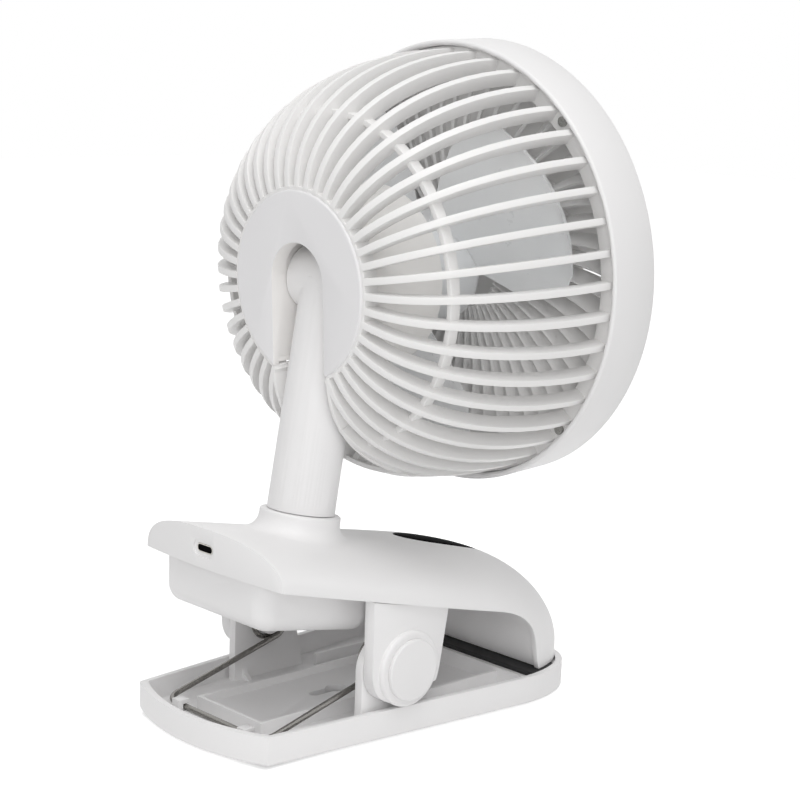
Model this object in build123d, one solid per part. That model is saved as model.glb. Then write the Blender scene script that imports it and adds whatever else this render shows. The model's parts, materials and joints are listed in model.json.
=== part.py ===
from build123d import *
from math import asin, atan2, ceil, cos, degrees, hypot, pi, radians, sin, sqrt, tan
import os

# Clip fan: a tilting caged fan head on a leaning pole, carried by a sprung two-jaw clip.
# +Z is up, the air blows towards -Y, X = 0 is the plane of symmetry, the floor is z = 0
# and the origin lies under the middle of the lower jaw. All sizes are millimetres.

# ---------------------------------------------------------------- driving dimensions
# Lower jaw: an open tray that stands on four rubber feet.
TRAY_LENGTH = 168.0
TRAY_REAR_HALF_WIDTH = 38.5
TRAY_FRONT_HALF_WIDTH = 50.5
TRAY_REAR_BULGE = 9.0
TRAY_NOSE_START = 42.0
TRAY_NOSE_ROUNDNESS = 3.2
TRAY_WALL = 2.4
TRAY_FLOOR = 2.4
TRAY_HEIGHT = 10.8
FOOT_HEIGHT = 1.5
FOOT_RADIUS = 6.0
FOOT_SINK = 0.8

# Wall-hanging pan moulded inside the tray.
PAN_HALF_WIDTH = 19.0
PAN_REAR_INSET = 21.5
PAN_LENGTH = 84.0
PAN_STEP = 2.2
PAN_RIM_HEIGHT = 3.0
PAN_RIM_WALL = 1.6
KEYHOLE_RADIUS = 4.2
KEYHOLE_SLOT_RADIUS = 2.2
KEYHOLE_TRAVEL = 11.0
KEYHOLE_SETBACK = 31.0

# Rubber pad across the lower nose, on its ledge.
PAD_LENGTH = 16.0
PAD_THICKNESS = 2.0
PAD_FRONT_INSET = 17.0
LEDGE_HEIGHT = 10.2
LEDGE_THICKNESS = 2.2
SIDE_RIB_X = 29.0
SIDE_RIB_THICKNESS = 1.6

# Hinge of the clip.
HINGE_Y = 14.2
HINGE_Z = 27.0
AXLE_RADIUS = 3.0
RUNNING_FIT = 0.05
BRACKET_RADIUS = 12.5
BRACKET_THICKNESS = 3.6
BRACKET_OUTER_X = 38.9
BRACKET_BASE_LENGTH = 35.0
WEB_REACH = 5.0
WEB_THICKNESS = 2.0
WEB_REAR_INSET = 5.0
EAR_GAP = 0.5
EAR_THICKNESS = 5.0
EAR_REAR_REACH = 17.3
EAR_FRONT_REACH = 16.7
EAR_FRONT_TAPER = 4.1
EAR_DROP = 14.3
CAP_RING_RADIUS = 14.4
CAP_RING_HEIGHT = 2.0
CAP_RING_ROUND = 1.3
CAP_RADIUS = 11.6
CAP_HEIGHT = 1.8
CAP_EDGE = 0.6
CAP_PLUG_INSET = 2.0

# Double torsion spring.
WIRE_DIAMETER = 2.2
COIL_Y = 18.4
COIL_Z = 28.1
COIL_RADIUS = 7.4
COIL_TURNS = 1
COIL_PITCH = 3.0
COIL_INNER_X = 29.0
COIL_BOSS_GAP = 0.6
COIL_BOSS_LENGTH = 6.5
COIL_BOSS_WALL = 1.8
SPRING_BAR_INSET = 15.0
SPRING_BAR_Z = 6.8
SPRING_CORNER = 5.0
UPPER_LEG_LENGTH = 8.0
HOOK_X = 19.5
HOOK_HALF_WIDTH = 2.2
HOOK_WALL = 2.0
HOOK_LIP = 1.6
SADDLE_WALL = 1.6
SEAT_RIB_X = 31.6
SEAT_RIB_WIDTH = 3.2
SEAT_RIB_LENGTH = 2.8

# Upper jaw: a whale-backed shell with an elliptical arch as its cross-section.
JAW_SLOPE = 12.9
SHELL_REAR_Y = 75.2
SHELL_REAR_BULGE = 4.2
SHELL_REAR_HALF_WIDTH = 39.2
SHELL_NOSE_HALF_WIDTH = 48.0
SHELL_REAR_EDGE_Z = 64.3
SHELL_REAR_CROWN = 15.8
SHELL_CROWN_SLOPE = 0.185
SHELL_NOSE_START_Y = -26.0
SHELL_NOSE_INSET = 0.4
SHELL_NOSE_PLAN = 3.4
SHELL_NOSE_FALL_IN = 2.4
SHELL_NOSE_FALL_OUT = 4.7
SHELL_REAR_FULLNESS = 2.5
ARCH_ANGLES = (1.0, 4.0, 10.0, 19.0, 31.0, 45.0, 60.0, 75.0)
SHELL_WALL = 2.2
JAW_GAP = 0.35
NOSE_ARCH_Y = -30.0

# Underside frame of the upper jaw and the battery box.
FRAME_THICKNESS = 2.4
PLATE_INSET = 0.3
FIT = 0.15
FRAME_GAP = 0.25
BOX_HALF_WIDTH = 30.0
BOX_REAR_Y = 71.8
BOX_LENGTH = 57.4
BOX_REAR_DEPTH = 17.0
BOX_FRONT_DEPTH = 14.3
BOX_WALL = 1.8
BOX_CORNER = 8.0
BOX_REAR_CORNER = 7.4
BOX_RIM = 6.8
BOX_TOP_GAP = 0.1
WINDOW_MARGIN = 12.0
BOSS_RADIUS = 3.2
FRAME_SCREW_RADIUS = 1.4
FRAME_SCREW_HEAD = 2.9
BOARD_POST_X = 11.0
BOARD_POST_RADIUS = 2.0
BATTERY_SIDE_ROOM = 3.0
BATTERY_END_ROOM = 6.5
BATTERY_THICKNESS = 9.4

# Touch panel.
PANEL_LENGTH = 43.0
PANEL_WIDTH = 23.0
PANEL_Y = -41.8
PANEL_SLOPE = 15.5
PANEL_THICKNESS = 1.4

# Charging socket (standard size) at the rear.
SOCKET_WIDTH = 8.94
SOCKET_HEIGHT = 3.2
SOCKET_DEPTH = 7.4
SOCKET_WALL = 0.35
SOCKET_Z = 72.4
SOCKET_RECESS = 0.8

# Neck: a leaning pole with a knuckle on top and a swivel below.
NECK_LEAN = 9.5
COLLAR_Y = 29.6417
COLLAR_Z = 79.7
KNUCKLE_RADIUS = 12.4
POLE_LENGTH = 87.5
POLE_BASE_RADIUS = 12.9
POLE_TOP_RADIUS = 12.5
COLLAR_RADIUS = 15.4
COLLAR_FLARE = 6.0
COLLAR_EDGE = 0.8
SPIGOT_RADIUS = 8.6
SPIGOT_LENGTH = 12.0
SWIVEL_GAP = 0.3
CABLE_BORE = 3.4
RETAINER_RADIUS = 13.0
RETAINER_THICKNESS = 2.4
COLLAR_FLOOR = 2.6
TILT_AXLE_RADIUS = 2.5

# Head: all measured from the disc's rear face, forward along the blowing axis.
HEAD_TILT = 3.1
DISC_TO_KNUCKLE = 18.8
DISC_RADIUS = 35.0
DISC_THICKNESS = 2.6
SLOT_HALF_WIDTH = 14.4
SLOT_CENTRE_RISE = 1.4
SLOT_DEPTH = 33.5
SLOT_ROUND_DEPTH = 6.5
SLOT_WALL = 1.8
DRUM_RADIUS = 34.0
DRUM_FRONT = 41.8
DRUM_WALL = 1.8
RIB_COUNT = 44
RIB_THICKNESS = 2.9
RIB_DEPTH = 6.5
BASKET_RADIUS = 83.0
BASKET_DEPTH = 80.0
BASKET_ROUNDNESS = 2.15
MID_RING_SHARE = 0.747
MID_RING_Z = 19.4
MID_RING_WIDTH = 4.6
MID_RING_THICKNESS = 2.2
CHANNEL_END_INSET = 7.0
CHANNEL_WALL_DEPTH = 11.0
BAND_STEP = 3.2
BAND_WALL = 2.2
BAND_REAR = 77.2
BAND_FRONT = 99.6
VANE_COUNT = 52
VANE_THICKNESS = 1.3
VANE_DEPTH = 7.0
VANE_SWEEP = 12.0
FRONT_HUB_RADIUS = 19.0
FRONT_RING_RADIUS = 51.0

# Motor and blades.
BLADE_COUNT = 3
BLADE_REST_ANGLE = 152.0
BLADE_TIP_INSET = 9.0
BLADE_THICKNESS = 1.6
BLADE_ROOT_ANGLE = 58.0
BLADE_SPAN_ANGLE = 74.0
BLADE_TIP_ANGLE = 50.0
BLADE_WIDEST_RADIUS = 48.0
BLADE_SETBACK = 11.5
BLADE_DEPTH_ROOT = 17.0
BLADE_DEPTH_TIP = 12.5
HUB_RADIUS = 22.0
HUB_SETBACK = 2.2
HUB_LENGTH = 31.0
HUB_WALL = 1.8
SHAFT_RADIUS = 1.5
BEARING_RADIUS = 4.0
BEARING_WIDTH = 3.0
STATOR_RADIUS = 14.0
STATOR_LENGTH = 12.0
MAGNET_WALL = 2.0
CUP_WALL = 1.2

# ---------------------------------------------------------------- derived places
HALF_LENGTH = TRAY_LENGTH / 2
TRAY_BOTTOM = FOOT_HEIGHT
FLOOR_TOP = TRAY_BOTTOM + TRAY_FLOOR
TRAY_RIM = TRAY_BOTTOM + TRAY_HEIGHT
PAN_FLOOR = FLOOR_TOP + PAN_STEP
PAN_RIM = PAN_FLOOR + PAN_RIM_HEIGHT
PAN_REAR = HALF_LENGTH - PAN_REAR_INSET
PAN_FRONT = PAN_REAR - PAN_LENGTH
REAR_CORNER_Y = HALF_LENGTH - TRAY_REAR_BULGE
NOSE_START_Y = -HALF_LENGTH + TRAY_NOSE_START
PAD_FRONT = -HALF_LENGTH + PAD_FRONT_INSET
PAD_REAR = PAD_FRONT + PAD_LENGTH
EAR_INNER_X = BRACKET_OUTER_X + EAR_GAP
EAR_OUTER_X = EAR_INNER_X + EAR_THICKNESS
BRACKET_INNER_X = BRACKET_OUTER_X - BRACKET_THICKNESS
COIL_BOSS_RADIUS = COIL_RADIUS - WIRE_DIAMETER / 2 - COIL_BOSS_GAP
SHELL_NOSE_TIP_Y = -HALF_LENGTH + SHELL_NOSE_INSET
SPRING_BAR_Y = HALF_LENGTH - SPRING_BAR_INSET
BATTERY_LENGTH = 2 * (BOX_HALF_WIDTH - BATTERY_SIDE_ROOM)
BATTERY_WIDTH = BOX_LENGTH - 2 * BATTERY_END_ROOM
BAND_RADIUS = BASKET_RADIUS + BAND_STEP
MID_RING_RADIUS = BASKET_RADIUS * MID_RING_SHARE
CHANNEL_END_RADIUS = BASKET_RADIUS - CHANNEL_END_INSET
BLADE_TIP_RADIUS = BASKET_RADIUS - BLADE_TIP_INSET
HUB_REAR = DRUM_FRONT + HUB_SETBACK
HUB_FRONT = HUB_REAR + HUB_LENGTH
LEAN = radians(NECK_LEAN)
SLOPE = radians(JAW_SLOPE)
POLE_AXIS = Vector(0, -sin(LEAN), cos(LEAN))
COLLAR = Vector(0, COLLAR_Y, COLLAR_Z)
KNUCKLE = COLLAR + POLE_AXIS * POLE_LENGTH
TILT = radians(HEAD_TILT)
BLOW_AXIS = Vector(0, -cos(TILT), sin(TILT))
DISC_CENTRE = KNUCKLE - BLOW_AXIS * DISC_TO_KNUCKLE
HEAD = Plane(origin=DISC_CENTRE, x_dir=(1, 0, 0), z_dir=BLOW_AXIS).location
NECK = Plane(origin=COLLAR, x_dir=(1, 0, 0), z_dir=POLE_AXIS).location
SHELL_CORNER_Y = SHELL_REAR_Y - SHELL_REAR_BULGE
JAW_ORIGIN = Vector(0, SHELL_CORNER_Y, SHELL_REAR_EDGE_Z)
JAW = Plane(origin=JAW_ORIGIN, x_dir=(1, 0, 0), z_dir=(0, -sin(SLOPE), cos(SLOPE))).location
BOX_REAR = (BOX_REAR_Y - SHELL_CORNER_Y) / cos(SLOPE)
COLLAR_UNDERSIDE = -COLLAR_FLARE - COLLAR_FLOOR


# ---------------------------------------------------------------- shared helpers
def block(x0, x1, y0, y1, z0, z1):
    """A box given by its two corners."""
    centre = Pos((x0 + x1) / 2, (y0 + y1) / 2, (z0 + z1) / 2)
    return centre * Box(x1 - x0, y1 - y0, z1 - z0)


def rod(radius, z0, z1):
    """A round bar along Z from z0 to z1."""
    return Pos(0, 0, (z0 + z1) / 2) * Cylinder(radius, z1 - z0)


def rod_x(radius, x0, x1, y=0.0, z=0.0):
    """A round bar along X from x0 to x1 at the given height and depth."""
    return Pos((x0 + x1) / 2, y, z) * Rot(0, 90, 0) * Cylinder(radius, abs(x1 - x0))


def tube(outer, inner, z0, z1):
    """A round tube along Z."""
    return rod(outer, z0, z1) - rod(inner, z0 - 1, z1 + 1)


def side_plate(outline, x0, x1):
    """A plate whose outline lies in the (y, z) plane, from x0 to x1."""
    face = make_face(outline)
    return extrude(Pos(x0, 0, 0) * face, amount=x1 - x0, dir=(1, 0, 0))


def closed_side_path(points):
    """Straight edges through (y, z) points, closed."""
    corners = [(0, y, z) for y, z in points]
    return Polyline(*corners, close=True)


def mirrored(part):
    """The same piece on the other side of the plane of symmetry."""
    return mirror(part, about=Plane.YZ)


def both_sides(part):
    """A piece and its mirror image as separate solids."""
    return Compound(children=list(part.solids()) + list(mirrored(part).solids()))


def save(node, part):
    """Write one sub-part."""
    shape = part
    if len(part.solids()) == 1:
        shape = part.solids()[0]
    else:
        shape = Compound(children=list(part.solids()))
    export_step(shape, "parts/" + node + ".step")


# ---------------------------------------------------------------- lower jaw
def tray_half_width(y, inset=0.0):
    """Half width of the tray at depth y, for its outer wall moved in by inset."""
    run = (REAR_CORNER_Y - y) / (REAR_CORNER_Y - NOSE_START_Y)
    straight = TRAY_REAR_HALF_WIDTH + (TRAY_FRONT_HALF_WIDTH - TRAY_REAR_HALF_WIDTH) * run
    if y >= NOSE_START_Y:
        return straight - inset
    reach = (NOSE_START_Y - y) / (NOSE_START_Y + HALF_LENGTH - inset)
    fall = max(1 - reach ** TRAY_NOSE_ROUNDNESS, 0.0) ** (1 / TRAY_NOSE_ROUNDNESS)
    return (TRAY_FRONT_HALF_WIDTH - inset) * fall


def tray_outline(inset):
    """The tray's plan outline as a face, its wall moved in by inset."""
    corner_y = REAR_CORNER_Y - inset
    corner_x = tray_half_width(corner_y, inset)
    rear = ThreePointArc((-corner_x, corner_y), (0, HALF_LENGTH - inset), (corner_x, corner_y))
    nose_x = tray_half_width(NOSE_START_Y, inset)
    right = Line((corner_x, corner_y), (nose_x, NOSE_START_Y))
    tip_y = -HALF_LENGTH + inset
    reaches = [0.45, 0.72, 0.88, 0.965]
    steps = [NOSE_START_Y + (tip_y - NOSE_START_Y) * reach for reach in reaches]
    points = [(nose_x, NOSE_START_Y)] + [(tray_half_width(y, inset), y) for y in steps] + [(0, tip_y)]
    way_in = (nose_x - corner_x, NOSE_START_Y - corner_y)
    nose = Spline(*points, tangents=[way_in, (-1, 0)])
    nose_left = mirror(nose, about=Plane.YZ)
    left = Line((-nose_x, NOSE_START_Y), (-corner_x, corner_y))
    return make_face([rear, right, nose, nose_left, left])


def keyhole_cut():
    """The hanging hole: a round mouth and a narrow run towards the rear."""
    mouth_y = PAN_FRONT + KEYHOLE_SETBACK
    mouth = Pos(0, mouth_y, 0) * rod(KEYHOLE_RADIUS, 0, PAN_RIM)
    run = block(-KEYHOLE_SLOT_RADIUS, KEYHOLE_SLOT_RADIUS, mouth_y,
                mouth_y + KEYHOLE_TRAVEL, 0, PAN_RIM)
    end = Pos(0, mouth_y + KEYHOLE_TRAVEL, 0) * rod(KEYHOLE_SLOT_RADIUS, 0, PAN_RIM)
    return mouth + run + end


def bracket_plate():
    """The right-hand bracket's plate: upright at the rear, leaning in front, its top rounded."""
    base_z = FLOOR_TOP - 0.5
    half = BRACKET_BASE_LENGTH / 2
    rear_y = HINGE_Y + half
    rounding_y = rear_y - BRACKET_RADIUS
    top_z = HINGE_Z + BRACKET_RADIUS
    cosine = cos(pi / 4)
    rear_middle = (0, rounding_y + BRACKET_RADIUS * cosine, HINGE_Z + BRACKET_RADIUS * cosine)
    front_middle = (0, HINGE_Y - BRACKET_RADIUS * cosine, HINGE_Z + BRACKET_RADIUS * cosine)
    outline = [
        Line((0, rear_y, base_z), (0, rear_y, HINGE_Z)),
        ThreePointArc((0, rear_y, HINGE_Z), rear_middle, (0, rounding_y, top_z)),
        Line((0, rounding_y, top_z), (0, HINGE_Y, top_z)),
        ThreePointArc((0, HINGE_Y, top_z), front_middle, (0, HINGE_Y - BRACKET_RADIUS, HINGE_Z)),
        Line((0, HINGE_Y - BRACKET_RADIUS, HINGE_Z), (0, HINGE_Y - half, base_z)),
        Line((0, HINGE_Y - half, base_z), (0, rear_y, base_z)),
    ]
    return side_plate(outline, BRACKET_INNER_X, BRACKET_OUTER_X)


def bracket_web():
    """The curved web that props the right-hand bracket from inside."""
    base_z = FLOOR_TOP - 0.5
    start = BRACKET_INNER_X + 0.5
    end = BRACKET_INNER_X - WEB_REACH
    top = HINGE_Z - BRACKET_RADIUS + WEB_REACH
    bend = (BRACKET_INNER_X - WEB_REACH / 3, base_z + WEB_REACH / 2)
    curve = ThreePointArc((start, top), bend, (end, base_z))
    web = make_face([curve, Polyline((end, base_z), (start, base_z), (start, top))])
    middle_y = HINGE_Y + BRACKET_BASE_LENGTH / 2 - WEB_REAR_INSET
    return extrude(Plane.XZ.offset(-middle_y).location * web, amount=WEB_THICKNESS / 2, both=True)


def hinge_bracket():
    """The right-hand upright of the tray that carries the hinge pin and the coil's boss."""
    boss_end = BRACKET_INNER_X - COIL_BOSS_LENGTH
    boss = rod_x(COIL_BOSS_RADIUS, boss_end, BRACKET_INNER_X + 0.5, COIL_Y, COIL_Z)
    boss = boss - rod_x(COIL_BOSS_RADIUS - COIL_BOSS_WALL, boss_end - 1, BRACKET_INNER_X - 1, COIL_Y, COIL_Z)
    bore = rod_x(AXLE_RADIUS + RUNNING_FIT, BRACKET_INNER_X + 1, BRACKET_OUTER_X + 1, HINGE_Y, HINGE_Z)
    return bracket_plate() + bracket_web() + boss - bore


def spring_hook(x):
    """A small hook that holds the spring's rear bar down."""
    bar_top = SPRING_BAR_Z + WIRE_DIAMETER / 2 + FIT
    front = SPRING_BAR_Y - WIRE_DIAMETER / 2 - 2 * FIT
    back = SPRING_BAR_Y + WIRE_DIAMETER / 2 + FIT
    left = x - HOOK_HALF_WIDTH
    right = x + HOOK_HALF_WIDTH
    post = block(left, right, back, back + HOOK_WALL, FLOOR_TOP - 0.4, bar_top + HOOK_LIP)
    lip = block(left, right, front, back + 0.5, bar_top, bar_top + HOOK_LIP)
    return post + lip


def spring_saddle():
    """A low rib under the spring's rear bar, so that the bar rests on it."""
    top = SPRING_BAR_Z - WIRE_DIAMETER / 2
    half = COIL_INNER_X - SPRING_CORNER
    return block(-half, half, SPRING_BAR_Y - SADDLE_WALL / 2, SPRING_BAR_Y + SADDLE_WALL / 2,
                 FLOOR_TOP - 0.4, top)


def lower_tray():
    """The lower jaw: tray, hanging pan, pad ledge, stiffening ribs, brackets and hooks."""
    outer = extrude(Pos(0, 0, TRAY_BOTTOM) * tray_outline(0), amount=TRAY_HEIGHT)
    bottom_edges = outer.faces().sort_by(Axis.Z)[0].edges()
    outer = fillet(bottom_edges, 1.2)
    inner = extrude(Pos(0, 0, FLOOR_TOP) * tray_outline(TRAY_WALL), amount=TRAY_HEIGHT)
    tray = outer - inner
    inside = extrude(Pos(0, 0, TRAY_BOTTOM) * tray_outline(TRAY_WALL - 0.5), amount=TRAY_HEIGHT)
    pan = block(-PAN_HALF_WIDTH, PAN_HALF_WIDTH, PAN_FRONT, PAN_REAR, FLOOR_TOP - 0.4, PAN_RIM)
    pan = pan - block(-PAN_HALF_WIDTH + PAN_RIM_WALL, PAN_HALF_WIDTH - PAN_RIM_WALL,
                      PAN_FRONT + PAN_RIM_WALL, PAN_REAR - PAN_RIM_WALL, PAN_FLOOR, PAN_RIM + 1)
    ledge = block(-60, 60, -HALF_LENGTH, PAD_REAR + 2.0, FLOOR_TOP - 0.4, LEDGE_HEIGHT)
    ledge = ledge - block(-60, 60, -HALF_LENGTH, PAD_REAR - 1.0, FLOOR_TOP, LEDGE_HEIGHT - LEDGE_THICKNESS)
    ledge = ledge & inside
    rib_y0 = PAD_REAR + 1.0
    rib_y1 = HINGE_Y - BRACKET_BASE_LENGTH / 2 - 2.0
    side_rib = block(SIDE_RIB_X, SIDE_RIB_X + SIDE_RIB_THICKNESS, rib_y0, rib_y1,
                     FLOOR_TOP - 0.4, PAN_RIM)
    tray = tray + pan + ledge + side_rib + mirrored(side_rib)
    tray = tray + hinge_bracket() + mirrored(hinge_bracket())
    tray = tray + spring_saddle() + spring_hook(HOOK_X) + spring_hook(-HOOK_X)
    tray = tray - keyhole_cut()
    for x, y in foot_places():
        tray = tray - Pos(x, y, 0) * rod(FOOT_RADIUS + 0.1, 0, TRAY_BOTTOM + FOOT_SINK)
    return tray


def foot_places():
    """Centres of the four rubber feet."""
    rear_y = REAR_CORNER_Y - 16.0
    front_y = NOSE_START_Y - 14.0
    rear_x = TRAY_REAR_HALF_WIDTH - 10.0
    front_x = TRAY_FRONT_HALF_WIDTH - 13.0
    return [(rear_x, rear_y), (-rear_x, rear_y), (front_x, front_y), (-front_x, front_y)]


def rubber_feet():
    """Four round feet let into the tray's underside."""
    foot = rod(FOOT_RADIUS, 0, TRAY_BOTTOM + FOOT_SINK)
    rim = foot.faces().sort_by(Axis.Z)[0].edges()
    foot = fillet(rim, 0.6)
    feet = [Pos(x, y, 0) * foot for x, y in foot_places()]
    return Compound(children=[solid for part in feet for solid in part.solids()])


def jaw_pad():
    """The black rubber strip across the lower nose."""
    strip = block(-60, 60, PAD_FRONT, PAD_REAR, LEDGE_HEIGHT, LEDGE_HEIGHT + PAD_THICKNESS)
    inside = extrude(Pos(0, 0, FLOOR_TOP) * tray_outline(TRAY_WALL + 0.2), amount=TRAY_HEIGHT)
    return strip & inside


def hinge_pins():
    """The two short steel pins on which the ears turn, one in each bracket."""
    pin = rod_x(AXLE_RADIUS, BRACKET_INNER_X + 1.2, EAR_OUTER_X - 1.0, HINGE_Y, HINGE_Z)
    ends = pin.edges().filter_by(GeomType.CIRCLE)
    return both_sides(chamfer(ends, 0.4))


# ---------------------------------------------------------------- torsion spring
def biarc(p0, t0, p1, t1):
    """Two tangent arcs from p0, leaving along t0, to p1, arriving along t1."""
    chord = p1 - p0
    total = t0 + t1
    bend = 2 * (1 - t0.dot(t1))
    along = chord.dot(total)
    reach = (sqrt(along * along + bend * chord.dot(chord)) - along) / bend
    middle = (p0 + t0 * reach + p1 - t1 * reach) * 0.5
    first = Edge.make_tangent_arc(p0, t0, middle)
    second = Edge.make_tangent_arc(middle, first % 1, p1)
    return [first, second]


def coil_point(turn, start_angle, start_x, side, sense):
    """A point of the coil and its direction after so many turns."""
    angle = start_angle + sense * 2 * pi * turn
    point = Vector(side * (start_x + COIL_PITCH * turn),
                   COIL_Y + COIL_RADIUS * cos(angle), COIL_Z + COIL_RADIUS * sin(angle))
    speed = 2 * pi * COIL_RADIUS
    way = Vector(side * COIL_PITCH, -sense * speed * sin(angle), sense * speed * cos(angle))
    return point, way.normalized()


def lower_leg_angle():
    """Where the lower leg leaves the coil, from the line that touches coil and bar."""
    dy = SPRING_BAR_Y - COIL_Y
    dz = SPRING_BAR_Z - COIL_Z
    return atan2(dz, dy) - pi / 2 + asin(COIL_RADIUS / hypot(dy, dz))


def coil_turns():
    """Turns of one coil, so that its upper leg leaves along the jaw's slope."""
    return COIL_TURNS + (lower_leg_angle() + pi * 1.5 - SLOPE) / (2 * pi)


def half_spring(side):
    """Edges of one half: from the rear bar's middle to the upper leg's end."""
    start_angle = lower_leg_angle()
    radial = Vector(0, cos(start_angle), sin(start_angle))
    contact = Vector(side * COIL_INNER_X, COIL_Y, COIL_Z) + radial * COIL_RADIUS
    corner = Vector(side * COIL_INNER_X, SPRING_BAR_Y, SPRING_BAR_Z)
    leg_way = (contact - corner).normalized()
    bar_end = Vector(side * (COIL_INNER_X - SPRING_CORNER), SPRING_BAR_Y, SPRING_BAR_Z)
    leg_start = corner + leg_way * SPRING_CORNER
    edges = [Edge.make_line(Vector(0, SPRING_BAR_Y, SPRING_BAR_Z), bar_end)]
    edges.append(Edge.make_tangent_arc(bar_end, Vector(side, 0, 0), leg_start))
    turns = coil_turns()
    edges.append(Edge.make_line(leg_start, contact))
    quarter, quarter_way = coil_point(0.25, start_angle, COIL_INNER_X, side, -1)
    edges += biarc(contact, leg_way, quarter, quarter_way)
    quarters = [step / 4 for step in range(2, int(turns * 4) + 1)] + [turns]
    point, way = quarter, quarter_way
    for turn in quarters:
        following, following_way = coil_point(turn, start_angle, COIL_INNER_X, side, -1)
        edges += biarc(point, way, following, following_way)
        point, way = following, following_way
    edges.append(Edge.make_line(point, point + way * UPPER_LEG_LENGTH))
    return edges


def spring_self_gap(edges):
    """The least gap between stretches of the wire that aren't neighbours."""
    samples = []
    length = 0.0
    for edge in edges:
        count = max(2, ceil(edge.length / 1.0))
        for step in range(count):
            samples.append((length + edge.length * step / count, edge @ (step / count)))
        length += edge.length
    least = 1000.0
    for index, (run, point) in enumerate(samples):
        for other_run, other in samples[index + 1:]:
            if other_run - run > 4 * WIRE_DIAMETER:
                least = min(least, (other - point).length)
    return least - WIRE_DIAMETER


def clip_spring():
    """Both halves of the double torsion spring, one unbroken wire."""
    right = half_spring(1)
    left = half_spring(-1)
    print("spring self gap", round(spring_self_gap(right), 2), "mm")
    path = Wire(list(reversed(left)) + right)
    start = path @ 0
    way = path % 0
    section = Plane(origin=start, z_dir=way) * Circle(WIRE_DIAMETER / 2)
    return sweep(section, path=path)


# ---------------------------------------------------------------- upper jaw
def nose_reach(y):
    """How far along the nose a depth lies: 0 at its start, 1 at its tip."""
    return max((SHELL_NOSE_START_Y - y) / (SHELL_NOSE_START_Y - SHELL_NOSE_TIP_Y), 0.0)


def edge_line(y):
    """Height of the sloping line where the shell's side walls end, at depth y."""
    return SHELL_REAR_EDGE_Z - tan(SLOPE) * (SHELL_CORNER_Y - y)


def shell_half_width(y):
    """Half width of the upper shell at depth y."""
    run = (y - SHELL_NOSE_START_Y) / (SHELL_REAR_Y - SHELL_NOSE_START_Y)
    if run >= 0:
        return SHELL_NOSE_HALF_WIDTH - (SHELL_NOSE_HALF_WIDTH - SHELL_REAR_HALF_WIDTH) * run ** 1.6
    fall = (1 - nose_reach(y) ** SHELL_NOSE_PLAN) ** (1 / SHELL_NOSE_PLAN)
    return SHELL_NOSE_HALF_WIDTH * fall


def shell_crown(y):
    """Height of the shell's crown at depth y."""
    rise = SHELL_REAR_EDGE_Z + SHELL_REAR_CROWN - SHELL_CROWN_SLOPE * (SHELL_REAR_Y - y)
    fall = (1 - nose_reach(y) ** SHELL_NOSE_FALL_IN) ** (1 / SHELL_NOSE_FALL_OUT)
    return TRAY_RIM + (rise - TRAY_RIM) * fall


def shell_shoulder(y):
    """Height at which the arch stands on straight side walls."""
    line = edge_line(y)
    return line - (line - TRAY_RIM - 2.0) * nose_reach(y) ** 1.6


def shell_fullness(y):
    """Exponent of the arch's curve: an ellipse in front, fuller towards the rear."""
    run = max((y - SHELL_NOSE_START_Y) / (SHELL_REAR_Y - SHELL_NOSE_START_Y), 0.0)
    return 2.0 + (SHELL_REAR_FULLNESS - 2.0) * run * run


def shell_section(y, wall):
    """One cross-section of the shell: a rounded arch on a straight skirt."""
    width = shell_half_width(y) - wall
    shoulder = shell_shoulder(y)
    height = shell_crown(y) - wall - shoulder
    skirt = TRAY_RIM - 4.0
    power = 2 / shell_fullness(y)
    climb = [(width * cos(radians(angle)) ** power, height * sin(radians(angle)) ** power)
             for angle in ARCH_ANGLES]
    rising = [(-across, shoulder + up) for across, up in climb]
    falling = [(across, shoulder + up) for across, up in reversed(climb)]
    arch = Spline((-width, shoulder), *rising, (0, shoulder + height), *falling, (width, shoulder))
    left = Line((-width, shoulder), (-width, skirt))
    base = Line((-width, skirt), (width, skirt))
    right = Line((width, skirt), (width, shoulder))
    return Plane.XZ.offset(-y).location * make_face([arch, left, base, right])


def shell_body(wall):
    """The shell's solid outer form, or its inside when a wall is taken off."""
    tip = SHELL_NOSE_TIP_Y + wall
    start = SHELL_NOSE_START_Y
    rear = SHELL_REAR_Y + 1.0
    ends = [rear + (start - rear) * step / 9 for step in range(10)]
    reaches = (0.12, 0.24, 0.36, 0.48, 0.6, 0.7, 0.79, 0.86, 0.91, 0.945, 0.97)
    nose = [start + (tip - start) * reach for reach in reaches]
    sections = [shell_section(y, wall) for y in ends + nose]
    return loft(sections)


def rear_limit(setback):
    """Everything in front of the shell's bulged rear face, moved forward by setback."""
    corner = SHELL_REAR_Y - SHELL_REAR_BULGE - setback
    half = 60.0
    slack = SHELL_REAR_BULGE * (half / SHELL_REAR_HALF_WIDTH) ** 2 - SHELL_REAR_BULGE
    arc = ThreePointArc((-half, corner - slack), (0, SHELL_REAR_Y - setback), (half, corner - slack))
    front = -HALF_LENGTH - 20.0
    sides = Polyline((half, corner - slack), (half, front), (-half, front), (-half, corner - slack))
    return extrude(make_face([arc, sides]), amount=120.0)


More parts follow.
